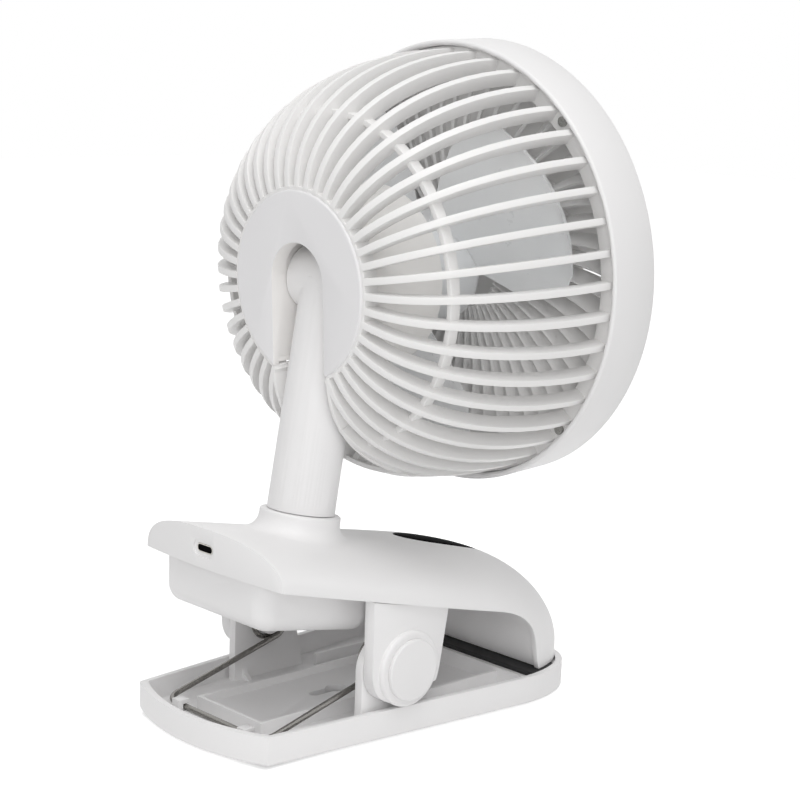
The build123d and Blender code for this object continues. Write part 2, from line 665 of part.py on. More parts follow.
def lower_edge_cut():
    """Everything below the lower edge of the shell, seen from the side."""
    rear_y = SHELL_REAR_Y + 10.0
    line_z = edge_line(rear_y)
    arch_z = edge_line(NOSE_ARCH_Y)
    nose_bottom = LEDGE_HEIGHT + PAD_THICKNESS + JAW_GAP
    foot_y = PAD_REAR - 5.0
    straight = Line((0, rear_y, line_z), (0, NOSE_ARCH_Y, arch_z))
    arch = Spline((0, NOSE_ARCH_Y, arch_z), (0, PAD_REAR - 1.5, 26.0), (0, foot_y, nose_bottom),
                  tangents=[(0, -cos(SLOPE), -sin(SLOPE)), (0, -0.55, -1.0)])
    front = -HALF_LENGTH - 10.0
    base = Polyline((0, foot_y, nose_bottom), (0, front, nose_bottom), (0, front, -10),
                    (0, rear_y, -10), (0, rear_y, line_z))
    return side_plate([straight, arch, base], -60, 60)


def collar():
    """The round foot of the neck that stands on the shell."""
    barrel = rod(COLLAR_RADIUS, -3 * COLLAR_FLARE, 0)
    rim = barrel.edges().filter_by(GeomType.CIRCLE).sort_by(Axis.Z)[-1]
    return NECK * fillet(rim, COLLAR_EDGE)


def collar_seam(form):
    """The edges where the collar meets the shell: on its radius, below its rounded top."""
    seam = []
    for edge in form.edges():
        spots = [(NECK.inverse() * Pos(*(edge @ share))).position for share in (0.0, 0.3, 0.7, 1.0)]
        on_wall = all(abs(hypot(spot.X, spot.Y) - COLLAR_RADIUS) < RUNNING_FIT for spot in spots)
        if on_wall and all(spot.Z < -1.5 * COLLAR_EDGE for spot in spots):
            seam.append(edge)
    return seam


def panel_prism(clearance):
    """The oval outline of the touch panel, driven through the crown."""
    slope = radians(PANEL_SLOPE)
    seat = Plane(origin=(0, PANEL_Y, shell_crown(PANEL_Y)), x_dir=(1, 0, 0),
                 z_dir=(0, -sin(slope), cos(slope)))
    oval = Ellipse(PANEL_WIDTH / 2 - clearance, PANEL_LENGTH / 2 - clearance)
    return seat.location * (Pos(0, 0, -8) * extrude(oval, amount=16))


def rounded_slot(width, height, y0, y1):
    """A bar with round ends, lying along Y."""
    slot = SlotOverall(width, height)
    face = Plane.XZ.offset(-y1).location * slot
    return extrude(face, amount=y1 - y0, dir=(0, -1, 0))


def shell_boss_places():
    """Where the frame is screwed to the shell, in the jaw's sloping frame."""
    return [(24.0, -10.0), (-24.0, -10.0), (26.0, -88.0), (-26.0, -88.0)]


def upper_shell():
    """The upper jaw's cover with its collar, panel window, port and screw bosses."""
    body = shell_body(0) & rear_limit(0)
    hollow = shell_body(SHELL_WALL) & rear_limit(SHELL_WALL)
    boss_foot = PLATE_INSET + FRAME_THICKNESS + FIT
    places = shell_boss_places()
    bosses = [JAW * (Pos(x, y, 0) * rod(BOSS_RADIUS, boss_foot, 40)) for x, y in places]
    boss_holes = [JAW * (Pos(x, y, 0) * rod(FRAME_SCREW_RADIUS, 0, boss_foot + 5.0)) for x, y in places]
    inner_flare = collar_core()
    shell = (body + collar()).solids()[0]
    shell = fillet(collar_seam(shell), COLLAR_FLARE)
    shell = shell - (hollow - Compound(children=[s for b in bosses for s in b.solids()]) - inner_flare)
    shell = shell - NECK * rod(SPIGOT_RADIUS + SWIVEL_GAP, -40, 1)
    shell = shell - NECK * rod(RETAINER_RADIUS + 1.5, -60, COLLAR_UNDERSIDE)
    shell = shell - lower_edge_cut()
    shell = shell - panel_prism(0)
    mouth = Pos(0, 0, SOCKET_Z) * rounded_slot(SOCKET_WIDTH + 0.3, SOCKET_HEIGHT + 0.3,
                                               SHELL_REAR_Y - 6, SHELL_REAR_Y + 2)
    recess = Pos(0, 0, SOCKET_Z) * rounded_slot(SOCKET_WIDTH + 3.0, SOCKET_HEIGHT + 3.0,
                                                SHELL_REAR_Y - SOCKET_RECESS, SHELL_REAR_Y + 2)
    shell = shell - mouth - recess
    for hole in boss_holes:
        shell = shell - hole
    return shell.solids().sort_by(SortBy.VOLUME)[-1]


def collar_core():
    """Material kept under the collar, so that the swivel bore has a wall."""
    return NECK * rod(COLLAR_RADIUS + 2.0, COLLAR_UNDERSIDE, 0)


def touch_panel():
    """The glossy oval panel, flush in the crown."""
    skin = shell_body(0) - shell_body(PANEL_THICKNESS)
    panel = skin & panel_prism(0.12)
    return panel.solids().sort_by(Axis.Z)[-1]


def touch_board():
    """The circuit board under the touch panel."""
    slope = radians(PANEL_SLOPE)
    seat = Plane(origin=(0, PANEL_Y, shell_crown(PANEL_Y)), x_dir=(1, 0, 0),
                 z_dir=(0, -sin(slope), cos(slope))).location
    top = -PANEL_THICKNESS - 0.8
    return seat * block(-7, 7, -9, 9, top - 1.2, top)


def jaw_inside(clearance):
    """The room inside the shell that the frame may fill, a small gap off its walls."""
    return shell_body(SHELL_WALL + clearance) & rear_limit(SHELL_WALL + clearance)


def ear_outline():
    """The right-hand ear seen from the side, up to just above the frame's plate."""
    rear_y = HINGE_Y + EAR_REAR_REACH
    front_y = HINGE_Y - EAR_FRONT_REACH
    top_y = front_y - EAR_FRONT_TAPER
    rear_low = (0, rear_y, HINGE_Z + 1.0)
    front_low = (0, front_y, HINGE_Z - 2.0)
    rear_top = (0, rear_y, edge_line(rear_y) + FRAME_THICKNESS)
    front_top = (0, top_y, edge_line(top_y) + FRAME_THICKNESS)
    rear_shares = [(0.81, 0.573), (0.474, 0.832), (0.03, 1.0)]
    front_shares = [(0.515, 0.811), (0.778, 0.559)]
    low = [(0, HINGE_Y + EAR_REAR_REACH * along, HINGE_Z - EAR_DROP * down) for along, down in rear_shares]
    low += [(0, HINGE_Y - EAR_FRONT_REACH * along, HINGE_Z - EAR_DROP * down) for along, down in front_shares]
    rounding = Spline(rear_low, *low, front_low, tangents=[(0, 0, -1), (0, -0.19, 1)])
    return [Line(rear_top, rear_low), rounding, Line(front_low, front_top), Line(front_top, rear_top)]


def below_shell_edge():
    """Everything under the shell's side walls, a small gap below them."""
    rear_y = SHELL_REAR_Y
    front_y = NOSE_ARCH_Y
    outline = closed_side_path([(rear_y, edge_line(rear_y) - JAW_GAP), (rear_y, 0), (front_y, 0),
                                (front_y, edge_line(front_y) - JAW_GAP)])
    return side_plate(outline, -60, 60)


def ear():
    """The right-hand ear of the upper jaw, which turns on the hinge pin."""
    plate = side_plate(ear_outline(), EAR_INNER_X, EAR_OUTER_X)
    plate = (plate & below_shell_edge()) + (plate & jaw_inside(FRAME_GAP))
    ring = rod_x(CAP_RING_RADIUS, EAR_OUTER_X - 0.5, EAR_OUTER_X + CAP_RING_HEIGHT, HINGE_Y, HINGE_Z)
    rim = ring.edges().filter_by(GeomType.CIRCLE).sort_by(Axis.X)[-1]
    ring = fillet(rim, CAP_RING_ROUND)
    bore = rod_x(AXLE_RADIUS + RUNNING_FIT, EAR_INNER_X - 1, EAR_OUTER_X, HINGE_Y, HINGE_Z)
    seat = rod_x(CAP_RADIUS - CAP_PLUG_INSET, EAR_OUTER_X, EAR_OUTER_X + CAP_RING_HEIGHT + 1,
                 HINGE_Y, HINGE_Z)
    return plate + ring - bore - seat


def spring_seat():
    """The right-hand rib of the frame under which the spring's upper leg bears."""
    leg_turn = coil_turns()
    leg_start, way = coil_point(leg_turn, lower_leg_angle(), COIL_INNER_X, 1, -1)
    seat = leg_start + way * (UPPER_LEG_LENGTH - SEAT_RIB_LENGTH / 2 - 0.6)
    rib_y = seat.Y - WIRE_DIAMETER / 2 * sin(SLOPE)
    bottom = seat.Z + WIRE_DIAMETER / 2 / cos(SLOPE) + 2 * RUNNING_FIT
    top = edge_line(rib_y) + FRAME_THICKNESS
    half = SEAT_RIB_LENGTH / 2
    drop = tan(SLOPE) * half
    outline = closed_side_path([(rib_y - half, bottom - drop), (rib_y + half, bottom + drop),
                                (rib_y + half, top), (rib_y - half, top)])
    return side_plate(outline, SEAT_RIB_X, SEAT_RIB_X + SEAT_RIB_WIDTH)


def hinge_cap():
    """The round cap that covers the right-hand end of the hinge axle."""
    seat_x = EAR_OUTER_X + CAP_RING_HEIGHT
    disc = rod_x(CAP_RADIUS, seat_x, seat_x + CAP_HEIGHT, HINGE_Y, HINGE_Z)
    rim = disc.edges().filter_by(GeomType.CIRCLE).sort_by(Axis.X)[-1]
    disc = fillet(rim, CAP_EDGE)
    plug = rod_x(CAP_RADIUS - CAP_PLUG_INSET - FIT, seat_x - CAP_RING_HEIGHT + 0.2, seat_x + 0.5,
                 HINGE_Y, HINGE_Z)
    return disc + plug


def frame_side_profile():
    """The frame's plate seen from the side: the sloping floor and the nose's underside."""
    rise = FRAME_THICKNESS / cos(SLOPE)
    rear_y = SHELL_REAR_Y
    lift = PLATE_INSET / cos(SLOPE)
    rear_z = edge_line(rear_y) + lift
    arch_z = edge_line(NOSE_ARCH_Y) + lift
    nose_bottom = LEDGE_HEIGHT + PAD_THICKNESS + JAW_GAP
    foot_y = PAD_REAR - 6.5
    tip_y = SHELL_NOSE_TIP_Y + 8.0
    way_in = (0, -cos(SLOPE), -sin(SLOPE))
    under = Spline((0, NOSE_ARCH_Y, arch_z), (0, PAD_REAR - 3.5, 25.0), (0, foot_y, nose_bottom),
                   tangents=[way_in, (0, -0.55, -1.0)])
    over = Spline((0, NOSE_ARCH_Y - 2.0, arch_z - 2.0 * tan(SLOPE) + rise), (0, PAD_REAR - 6.2, 27.0),
                  (0, foot_y - 3.0, nose_bottom + FRAME_THICKNESS),
                  tangents=[way_in, (0, -0.8, -1.0)])
    return [
        Line((0, rear_y, rear_z), (0, NOSE_ARCH_Y, arch_z)),
        under,
        Line((0, foot_y, nose_bottom), (0, tip_y, nose_bottom)),
        Line((0, tip_y, nose_bottom), (0, tip_y, nose_bottom + FRAME_THICKNESS)),
        Line((0, tip_y, nose_bottom + FRAME_THICKNESS), over @ 1),
        over,
        Line(over @ 0, (0, rear_y, rear_z + rise)),
        Line((0, rear_y, rear_z + rise), (0, rear_y, rear_z)),
    ]


def jaw_frame():
    """The upper jaw's floor with its two ears, board posts and screw holes."""
    plate = side_plate(frame_side_profile(), -60, 60) & jaw_inside(FRAME_GAP)
    right_side = ear() + spring_seat()
    frame = plate + right_side + mirrored(right_side)
    window_half = BOX_HALF_WIDTH - WINDOW_MARGIN
    window = block(-window_half, window_half, BOX_REAR - BOX_LENGTH + WINDOW_MARGIN,
                   BOX_REAR - 1.5 * WINDOW_MARGIN, -3, 6)
    frame = frame - JAW * window
    for x in (-BOARD_POST_X, BOARD_POST_X):
        post_y = board_rear() - 9.0
        post = Pos(x, post_y, 0) * rod(BOARD_POST_RADIUS, edge_line(post_y) - 3.0, board_bottom())
        frame = frame + (post & jaw_inside(FRAME_GAP) & JAW * block(-60, 60, -60, 60, PLATE_INSET, 60))
    for x, y in shell_boss_places():
        frame = frame - JAW * (Pos(x, y, 0) * rod(FRAME_SCREW_RADIUS + RUNNING_FIT, -3, 8))
    return frame.solids().sort_by(SortBy.VOLUME)[-1]


def frame_screws():
    """Four screws from below that hold the frame to the shell."""
    screws = []
    for x, y in shell_boss_places():
        shank = rod(FRAME_SCREW_RADIUS, PLATE_INSET - 0.5, FRAME_THICKNESS + 4.5)
        head = rod(FRAME_SCREW_HEAD, PLATE_INSET - 2.0, PLATE_INSET)
        screws.append(JAW * (Pos(x, y, 0) * (shank + head)))
    return Compound(children=[solid for screw in screws for solid in screw.solids()])


def upright_edges(form):
    """The edges of the battery box's form that run up and down, from front to rear."""
    return form.edges().filter_by(lambda edge: abs((edge % 0.5).Z) > 0.9).sort_by(Axis.Y)


def box_block(wall, top):
    """The battery box's outer form, or its inside when a wall is taken off."""
    depth = BOX_REAR_DEPTH - wall
    rear = BOX_REAR - wall
    lean = tan(SLOPE)
    front = BOX_REAR - BOX_LENGTH + wall
    outline = closed_side_path([(rear + top * lean, top), (rear - depth * lean, -depth),
                                (front, -BOX_FRONT_DEPTH + wall), (front, top)])
    form = side_plate(outline, -BOX_HALF_WIDTH + wall, BOX_HALF_WIDTH - wall)
    form = fillet(upright_edges(form)[:2], BOX_CORNER - wall)
    form = fillet(upright_edges(form)[-2:], BOX_REAR_CORNER - wall)
    rim = form.faces().sort_by(Axis.Z)[0].edges()
    return fillet(rim, BOX_RIM - wall)


def battery_box():
    """The rounded cover of the battery under the rear half of the upper jaw."""
    box = JAW * (box_block(0, PLATE_INSET) - box_block(BOX_WALL, PLATE_INSET + 2.0))
    behind_plate = JAW * block(-60, 60, -10, 10, -BOX_TOP_GAP, 10) - jaw_inside(FRAME_GAP)
    return box - behind_plate


def battery_pack():
    """The flat lithium cell pack that lies on the floor of the battery box."""
    taper = atan2(BOX_REAR_DEPTH - BOX_FRONT_DEPTH, BOX_LENGTH)
    middle_y = BOX_REAR - BOX_LENGTH / 2 - 2.0
    middle_z = -(BOX_REAR_DEPTH + BOX_FRONT_DEPTH) / 2 + BOX_WALL + 0.2
    pack = Pos(0, 0, BATTERY_THICKNESS / 2) * Box(BATTERY_LENGTH, BATTERY_WIDTH, BATTERY_THICKNESS)
    corners = pack.edges().filter_by(Axis.Z)
    pack = fillet(corners, 4.0)
    lower = pack.faces().sort_by(Axis.Z)[0].edges()
    pack = chamfer(lower, 3.0)
    return JAW * (Pos(0, middle_y, middle_z) * (Rot(-degrees(taper), 0, 0) * pack))


def board_rear():
    """Rear edge of the charging board."""
    return SHELL_REAR_Y - SHELL_WALL - 0.6


def board_bottom():
    """Underside of the charging board, below the socket."""
    return SOCKET_Z - SOCKET_HEIGHT / 2 - 1.2


def charging_board():
    """The board behind the charging port, on two posts."""
    return block(-14, 14, board_rear() - 16.0, board_rear() - 0.8, board_bottom(), board_bottom() + 1.2)


def usb_socket():
    """The metal charging socket with its tongue."""
    front = SHELL_REAR_Y - SOCKET_RECESS
    shell = rounded_slot(SOCKET_WIDTH, SOCKET_HEIGHT, front - SOCKET_DEPTH, front)
    inside = rounded_slot(SOCKET_WIDTH - 2 * SOCKET_WALL, SOCKET_HEIGHT - 2 * SOCKET_WALL,
                          front - SOCKET_DEPTH + 1.2, front + 1)
    tongue = block(-3.3, 3.3, front - SOCKET_DEPTH + 0.6, front - 1.0, -0.35, 0.35)
    return Pos(0, 0, SOCKET_Z) * (shell - inside + tongue)


# ---------------------------------------------------------------- neck
def neck_pole():
    """The hollow tapered pole, its swivel spigot below and its knuckle on top."""
    profile = make_face(Polyline((0, SWIVEL_GAP), (POLE_BASE_RADIUS, SWIVEL_GAP),
                                 (POLE_TOP_RADIUS, POLE_LENGTH), (0, POLE_LENGTH), close=True))
    pole = revolve(Plane.XZ.location * profile, Axis.Z)
    half = SLOT_HALF_WIDTH - 0.3
    knuckle = rod_x(KNUCKLE_RADIUS, -half, half, 0, POLE_LENGTH)
    rims = knuckle.edges().filter_by(GeomType.CIRCLE)
    knuckle = fillet(rims, 1.0)
    above = block(-30, 30, -30, 30, POLE_LENGTH, POLE_LENGTH + 30)
    pole = (pole - above) + knuckle
    pole = pole + rod(SPIGOT_RADIUS, -SPIGOT_LENGTH, SWIVEL_GAP + 0.5)
    pole = pole - rod(CABLE_BORE, -SPIGOT_LENGTH - 1, POLE_LENGTH - 5.0)
    pole = pole - rod_x(TILT_AXLE_RADIUS + RUNNING_FIT, -half - 1, half + 1, 0, POLE_LENGTH)
    for x, y in swivel_screw_places():
        pole = pole - Pos(x, y, 0) * rod(0.9, -SPIGOT_LENGTH - 1, -SPIGOT_LENGTH + 7)
    return NECK * pole


def swivel_screw_places():
    """Three screw places round the cable bore."""
    ring = (SPIGOT_RADIUS + CABLE_BORE) / 2
    return [(ring * cos(radians(a)), ring * sin(radians(a))) for a in (90, 210, 330)]


def swivel_retainer():
    """The plate under the collar that keeps the neck from lifting out."""
    top = -SPIGOT_LENGTH
    plate = tube(RETAINER_RADIUS, CABLE_BORE, top - RETAINER_THICKNESS, top)
    for x, y in swivel_screw_places():
        plate = plate - Pos(x, y, 0) * rod(1.1, top - 5, top + 1)
    return NECK * plate


def swivel_screws():
    """Three screws that hold the retainer to the pole."""
    top = -SPIGOT_LENGTH
    screws = []
    for x, y in swivel_screw_places():
        shank = rod(0.85, top - RETAINER_THICKNESS - 0.3, top + 6.0)
        head = rod(1.7, top - RETAINER_THICKNESS - 1.3, top - RETAINER_THICKNESS)
        screws.append(NECK * (Pos(x, y, 0) * (shank + head)))
    return Compound(children=[solid for screw in screws for solid in screw.solids()])


def swivel_washer():
    """The friction washer between the collar's underside and the retainer."""
    return NECK * tube(RETAINER_RADIUS - 0.5, SPIGOT_RADIUS + 0.1, -SPIGOT_LENGTH, COLLAR_UNDERSIDE - 0.3)


def neck_lead():
    """The motor lead inside the pole."""
    return NECK * rod(CABLE_BORE - 0.6, -SPIGOT_LENGTH - 1.0, POLE_LENGTH - 6.0)


# ---------------------------------------------------------------- head
def slot_face(half_width):
    """The keyhole outline: a round top and straight sides that run down."""
    top = Pos(0, SLOT_CENTRE_RISE) * Circle(half_width)
    run = Pos(0, SLOT_CENTRE_RISE - 50) * Rectangle(2 * half_width, 100)
    return top + run


def slot_prism(half_width, z0, z1):
    """The keyhole outline extruded forward from z0 to z1."""
    return Pos(0, 0, z0) * extrude(slot_face(half_width), amount=z1 - z0)


def rear_cap():
    """The round rear disc with the recessed slot for the neck."""
    disc = rod(DISC_RADIUS, 0, DISC_THICKNESS)
    rim = disc.edges().filter_by(GeomType.CIRCLE).sort_by(Axis.Z)[0]
    disc = fillet(rim, 0.9)
    outside = SLOT_HALF_WIDTH + SLOT_WALL
    top = SLOT_CENTRE_RISE + SLOT_HALF_WIDTH
    pocket = block(-outside, outside, -60, top + SLOT_WALL, 0.5, SLOT_DEPTH + SLOT_WALL)
    pocket = pocket & rod(DRUM_RADIUS - DRUM_WALL - FIT, 0, DRUM_FRONT)
    room = block(-SLOT_HALF_WIDTH, SLOT_HALF_WIDTH, -61, top, SLOT_ROUND_DEPTH, SLOT_DEPTH)
    cap = disc + pocket - room - slot_prism(SLOT_HALF_WIDTH, -1, SLOT_ROUND_DEPTH + 1)
    axle_hole = rod_x(TILT_AXLE_RADIUS, -20, 20, 0, DISC_TO_KNUCKLE)
    return HEAD * (cap - axle_hole)


def tilt_axle():
    """The steel axle of the tilt joint, fixed in the slot's side walls."""
    reach = SLOT_HALF_WIDTH + SLOT_WALL + 4.0
    return HEAD * rod_x(TILT_AXLE_RADIUS, -reach, reach, 0, DISC_TO_KNUCKLE)


def tilt_nuts():
    """The lock nuts on both ends of the tilt axle."""
    inner = SLOT_HALF_WIDTH + SLOT_WALL + 0.8
    nut = rod_x(4.6, inner, inner + 3.0, 0, DISC_TO_KNUCKLE)
    nut = nut - rod_x(TILT_AXLE_RADIUS, inner - 1, inner + 5, 0, DISC_TO_KNUCKLE)
    return HEAD * both_sides(nut)


def tilt_washers():
    """The spring washers that set the tilt joint's friction."""
    inner = SLOT_HALF_WIDTH + SLOT_WALL
    washer = rod_x(5.2, inner, inner + 0.8, 0, DISC_TO_KNUCKLE)
    washer = washer - rod_x(TILT_AXLE_RADIUS, inner - 1, inner + 5, 0, DISC_TO_KNUCKLE)
    return HEAD * both_sides(washer)


def motor_housing():
    """The drum behind the blades, which carries the motor on its front plate."""
    drum = rod(DRUM_RADIUS, DISC_THICKNESS, DRUM_FRONT)
    rim = drum.edges().filter_by(GeomType.CIRCLE).sort_by(Axis.Z)[-1]
    drum = fillet(rim, 1.2)
    drum = drum - rod(DRUM_RADIUS - DRUM_WALL, DISC_THICKNESS - 1, DRUM_FRONT - DRUM_WALL)
    drum = drum + rod(BEARING_RADIUS + 1.6, DRUM_FRONT - 6.0, DRUM_FRONT + 1.0 + STATOR_LENGTH)
    channel_top = SLOT_HALF_WIDTH + FIT
    drum = drum - block(-channel_top, channel_top, -60, 0, 0, SLOT_DEPTH + SLOT_WALL + FIT)
    front = DRUM_FRONT + 1.0 + STATOR_LENGTH
    drum = drum - rod(BEARING_RADIUS, DRUM_FRONT - 7.0, DRUM_FRONT - 6.0 + BEARING_WIDTH)
    drum = drum - rod(BEARING_RADIUS, front - BEARING_WIDTH, front + 1)
    drum = drum - rod(SHAFT_RADIUS + 0.8, DRUM_FRONT - 8, front + 1)
    return HEAD * drum


def bearing(z0):
    """One small ball bearing, drawn as a closed ring."""
    return HEAD * tube(BEARING_RADIUS, SHAFT_RADIUS + RUNNING_FIT, z0, z0 + BEARING_WIDTH)


def motor_board():
    """The driver board on the drum's front plate."""
    return HEAD * tube(STATOR_RADIUS + 3.0, BEARING_RADIUS + 1.8, DRUM_FRONT, DRUM_FRONT + 1.0)


def motor_stator():
    """The stator's iron core with its nine winding slots."""
    z0 = DRUM_FRONT + 1.6
    core = tube(STATOR_RADIUS, BEARING_RADIUS + 1.6, z0 + 2.5, z0 + STATOR_LENGTH - 2.5)
    for step in range(9):
        slot = block(8.0, STATOR_RADIUS + 1, -1.1, 1.1, z0, z0 + STATOR_LENGTH)
        core = core - Rot(0, 0, 40.0 * step) * slot
    return HEAD * core


def motor_windings():
    """The copper coils, one block on each side of every tooth's slot."""
    z0 = DRUM_FRONT + 1.6
    coils = []
    for step in range(9):
        ring = block(8.4, STATOR_RADIUS - 0.6, -0.9, 0.9, z0 + 0.4, z0 + STATOR_LENGTH - 0.4)
        coils.append(Rot(0, 0, 40.0 * step) * ring)
    return HEAD * Compound(children=[solid for coil in coils for solid in coil.solids()])


def basket_fullness(run):
    """Share of the basket's radial growth at a share of its depth."""
    return (1 - (1 - run) ** BASKET_ROUNDNESS) ** (1 / BASKET_ROUNDNESS)


def basket_curve(r0, r1, z0, z1):
    """Points (radius, forward) of a bulging curve from (r0, z0) to (r1, z1)."""
    runs = [0.0, 0.02, 0.07, 0.17, 0.33, 0.55, 0.78, 1.0]
    return [(r0 + (r1 - r0) * basket_fullness(run), z0 + (z1 - z0) * run) for run in runs]


def rib():
    """One curved rib of the basket, deep radially and thin across."""
    outer = basket_curve(DISC_RADIUS - 0.2, BASKET_RADIUS, 0.4, BASKET_DEPTH)
    inner = basket_curve(DISC_RADIUS - 0.2, BASKET_RADIUS - RIB_DEPTH + 0.8, RIB_DEPTH + 0.4, BASKET_DEPTH)
    outer_edge = Spline(*outer)
    inner_edge = Spline(*inner)
    tip_z = BASKET_DEPTH + 2.0
    tip = Polyline(outer_edge @ 1, (BASKET_RADIUS, tip_z), (inner[-1][0], tip_z), inner_edge @ 1)
    root = Line(inner_edge @ 0, outer_edge @ 0)
    face = Plane.XZ.location * make_face([outer_edge, tip, inner_edge, root])
    return extrude(face, amount=RIB_THICKNESS / 2, both=True)


def mid_ring():
    """The hoop that ties the ribs together, a little below their outer edges."""
    half = MID_RING_WIDTH / 2
    return tube(MID_RING_RADIUS, MID_RING_RADIUS - MID_RING_THICKNESS, MID_RING_Z - half, MID_RING_Z + half)


def channel_panel():
    """The right-hand side wall of the channel that the pole swings in."""
    x0 = SLOT_HALF_WIDTH
    x1 = SLOT_HALF_WIDTH + SLOT_WALL
    middle = (x0 + x1) / 2
    curve = basket_curve(DISC_RADIUS, BASKET_RADIUS, 0.4, BASKET_DEPTH)
    outer = [(r, z) for r, z in curve if r < CHANNEL_END_RADIUS]
    outer_points = [(0, -sqrt(r * r - middle * middle), z) for r, z in outer]
    start_y = outer_points[0][1]
    depth = CHANNEL_WALL_DEPTH
    inner_points = [(0, y * 0.97 + 1.0, z + depth) for _, y, z in reversed(outer_points)]
    edge = Spline(*outer_points)
    back = Polyline(outer_points[-1], *inner_points, (0, start_y + 1.5, SLOT_DEPTH), (0, start_y + 1.5, 0.4),
                    outer_points[0])
    return side_plate([edge, back], x0, x1)


def rear_grille():
    """The basket: hub ring, ribs, intermediate ring, channel walls and front ring."""
    hub = tube(DISC_RADIUS + 2.0, DISC_RADIUS + FIT, 0.6, RIB_DEPTH + 1.4)
    hub = hub + tube(DISC_RADIUS + 2.0, DRUM_RADIUS + FIT, DISC_THICKNESS + FIT, RIB_DEPTH + 1.4)
    front_ring = tube(BAND_RADIUS - BAND_WALL - FIT, BASKET_RADIUS - RIB_DEPTH, BASKET_DEPTH, BASKET_DEPTH + 3.0)
    one = rib()
    ribs = [Rot(0, 0, 90 + 360 * step / RIB_COUNT) * one for step in range(RIB_COUNT)]
    basket = hub + ribs + [mid_ring(), front_ring]
    cut_half = SLOT_HALF_WIDTH
    channel = block(-cut_half, cut_half, -CHANNEL_END_RADIUS, 0, -5, SLOT_DEPTH + 4)
    basket = basket + [channel_panel(), mirrored(channel_panel())]
    seat = rod(DISC_RADIUS + FIT, -5, DISC_THICKNESS + FIT) + rod(DRUM_RADIUS + FIT, 0, DRUM_FRONT)
    basket = basket - channel - seat
    return HEAD * basket.solids().sort_by(SortBy.VOLUME)[-1]


def outer_band():
    """The wide outer band with its rounded rear lip."""
    r1 = BAND_RADIUS
    r0 = BAND_RADIUS - BAND_WALL
    lip = BAND_WALL / 2
    outline = [
        Line((r0, BAND_REAR + lip), (r0, BAND_FRONT)),
        Line((r0, BAND_FRONT), (r1 - 1.0, BAND_FRONT)),
        ThreePointArc((r1 - 1.0, BAND_FRONT), (r1 - 0.3, BAND_FRONT - 0.3), (r1, BAND_FRONT - 1.0)),
        Line((r1, BAND_FRONT - 1.0), (r1, BAND_REAR + lip)),
        ThreePointArc((r1, BAND_REAR + lip), (r1 - lip, BAND_REAR), (r0, BAND_REAR + lip)),
    ]
    face = Plane.XZ.location * make_face(outline)
    return HEAD * revolve(face, Axis.Z)


def vane():
    """The plan of one swirled vane of the front grille."""
    r0 = FRONT_HUB_RADIUS - 1.0
    r1 = BAND_RADIUS - BAND_WALL - 3.0
    sweep_angle = radians(VANE_SWEEP)
    mid_r = (r0 + r1) / 2
    mid_angle = sweep_angle * 0.38
    end = (r1 * cos(sweep_angle), r1 * sin(sweep_angle))
    middle = (mid_r * cos(mid_angle), mid_r * sin(mid_angle))
    curve = ThreePointArc((r0, 0), middle, end)
    return trace(curve, VANE_THICKNESS)


def front_grille():
    """The front guard: rim, swirled vanes, a ring and a hub."""
    z1 = BAND_FRONT - 0.6
    z0 = z1 - VANE_DEPTH
    r_out = BAND_RADIUS - BAND_WALL - FIT
    plan = Circle(r_out) - Circle(r_out - 4.0)
    plan = plan + (Circle(FRONT_RING_RADIUS + 0.8) - Circle(FRONT_RING_RADIUS - 0.8))
    plan = plan + Circle(FRONT_HUB_RADIUS)
    blade = vane()
    plan = plan + [Rot(0, 0, 360 * step / VANE_COUNT) * blade for step in range(VANE_COUNT)]
    guard = Pos(0, 0, z0) * extrude(plan, amount=VANE_DEPTH)
    guard = guard - rod(FRONT_HUB_RADIUS - 1.6, z0 - 1, z1 - 2.0)
    rear_rim = tube(r_out, r_out - 2.0, BASKET_DEPTH + 3.0, z0 + 0.5)
    return HEAD * (guard + rear_rim)


def front_badge():
    """The plain round cap in the middle of the front guard."""
    z1 = BAND_FRONT - 0.6
    cap = rod(FRONT_HUB_RADIUS - 2.0, z1, z1 + 1.4)
    rim = cap.edges().filter_by(GeomType.CIRCLE).sort_by(Axis.Z)[-1]
    return HEAD * fillet(rim, 0.8)


def grille_screws():
    """Four screws that join the basket to the front guard, in the guard's rim."""
    screws = []
    ring = BAND_RADIUS - BAND_WALL - 2.4
    for step in range(4):
        angle = radians(45 + 90 * step)
        head = rod(1.9, BASKET_DEPTH - 1.2, BASKET_DEPTH)
        screws.append(Pos(ring * cos(angle), ring * sin(angle), 0) * head)
    return HEAD * Compound(children=[solid for screw in screws for solid in screw.solids()])


# ---------------------------------------------------------------- rotor
def blade_section(radius, span, depth):
    """One chord of a blade at a radius: a thin slanting strip across the airflow."""
    half = radians(span) / 2
    width = 2 * radius * sin(half)
    slant = atan2(depth, width)
    strip = Rot(0, 0, degrees(slant)) * Rectangle(hypot(width, depth), BLADE_THICKNESS)
    middle_z = HUB_REAR + BLADE_SETBACK + BLADE_DEPTH_ROOT / 2
    seat = Plane(origin=(radius, 0, middle_z), x_dir=(0, 1, 0), z_dir=(1, 0, 0))
    return seat.location * strip


def blade():
    """One fan blade, from inside the hub's wall to its tip."""
    sections = [
        blade_section(HUB_RADIUS - 1.5, BLADE_ROOT_ANGLE, BLADE_DEPTH_ROOT),
        blade_section(BLADE_WIDEST_RADIUS, BLADE_SPAN_ANGLE, (BLADE_DEPTH_ROOT + BLADE_DEPTH_TIP) / 2),
        blade_section(BLADE_TIP_RADIUS, BLADE_TIP_ANGLE, BLADE_DEPTH_TIP),
    ]
    plate = loft(sections)
    return plate & rod(BLADE_TIP_RADIUS - 1.0, HUB_REAR - 10, HUB_FRONT + 10)


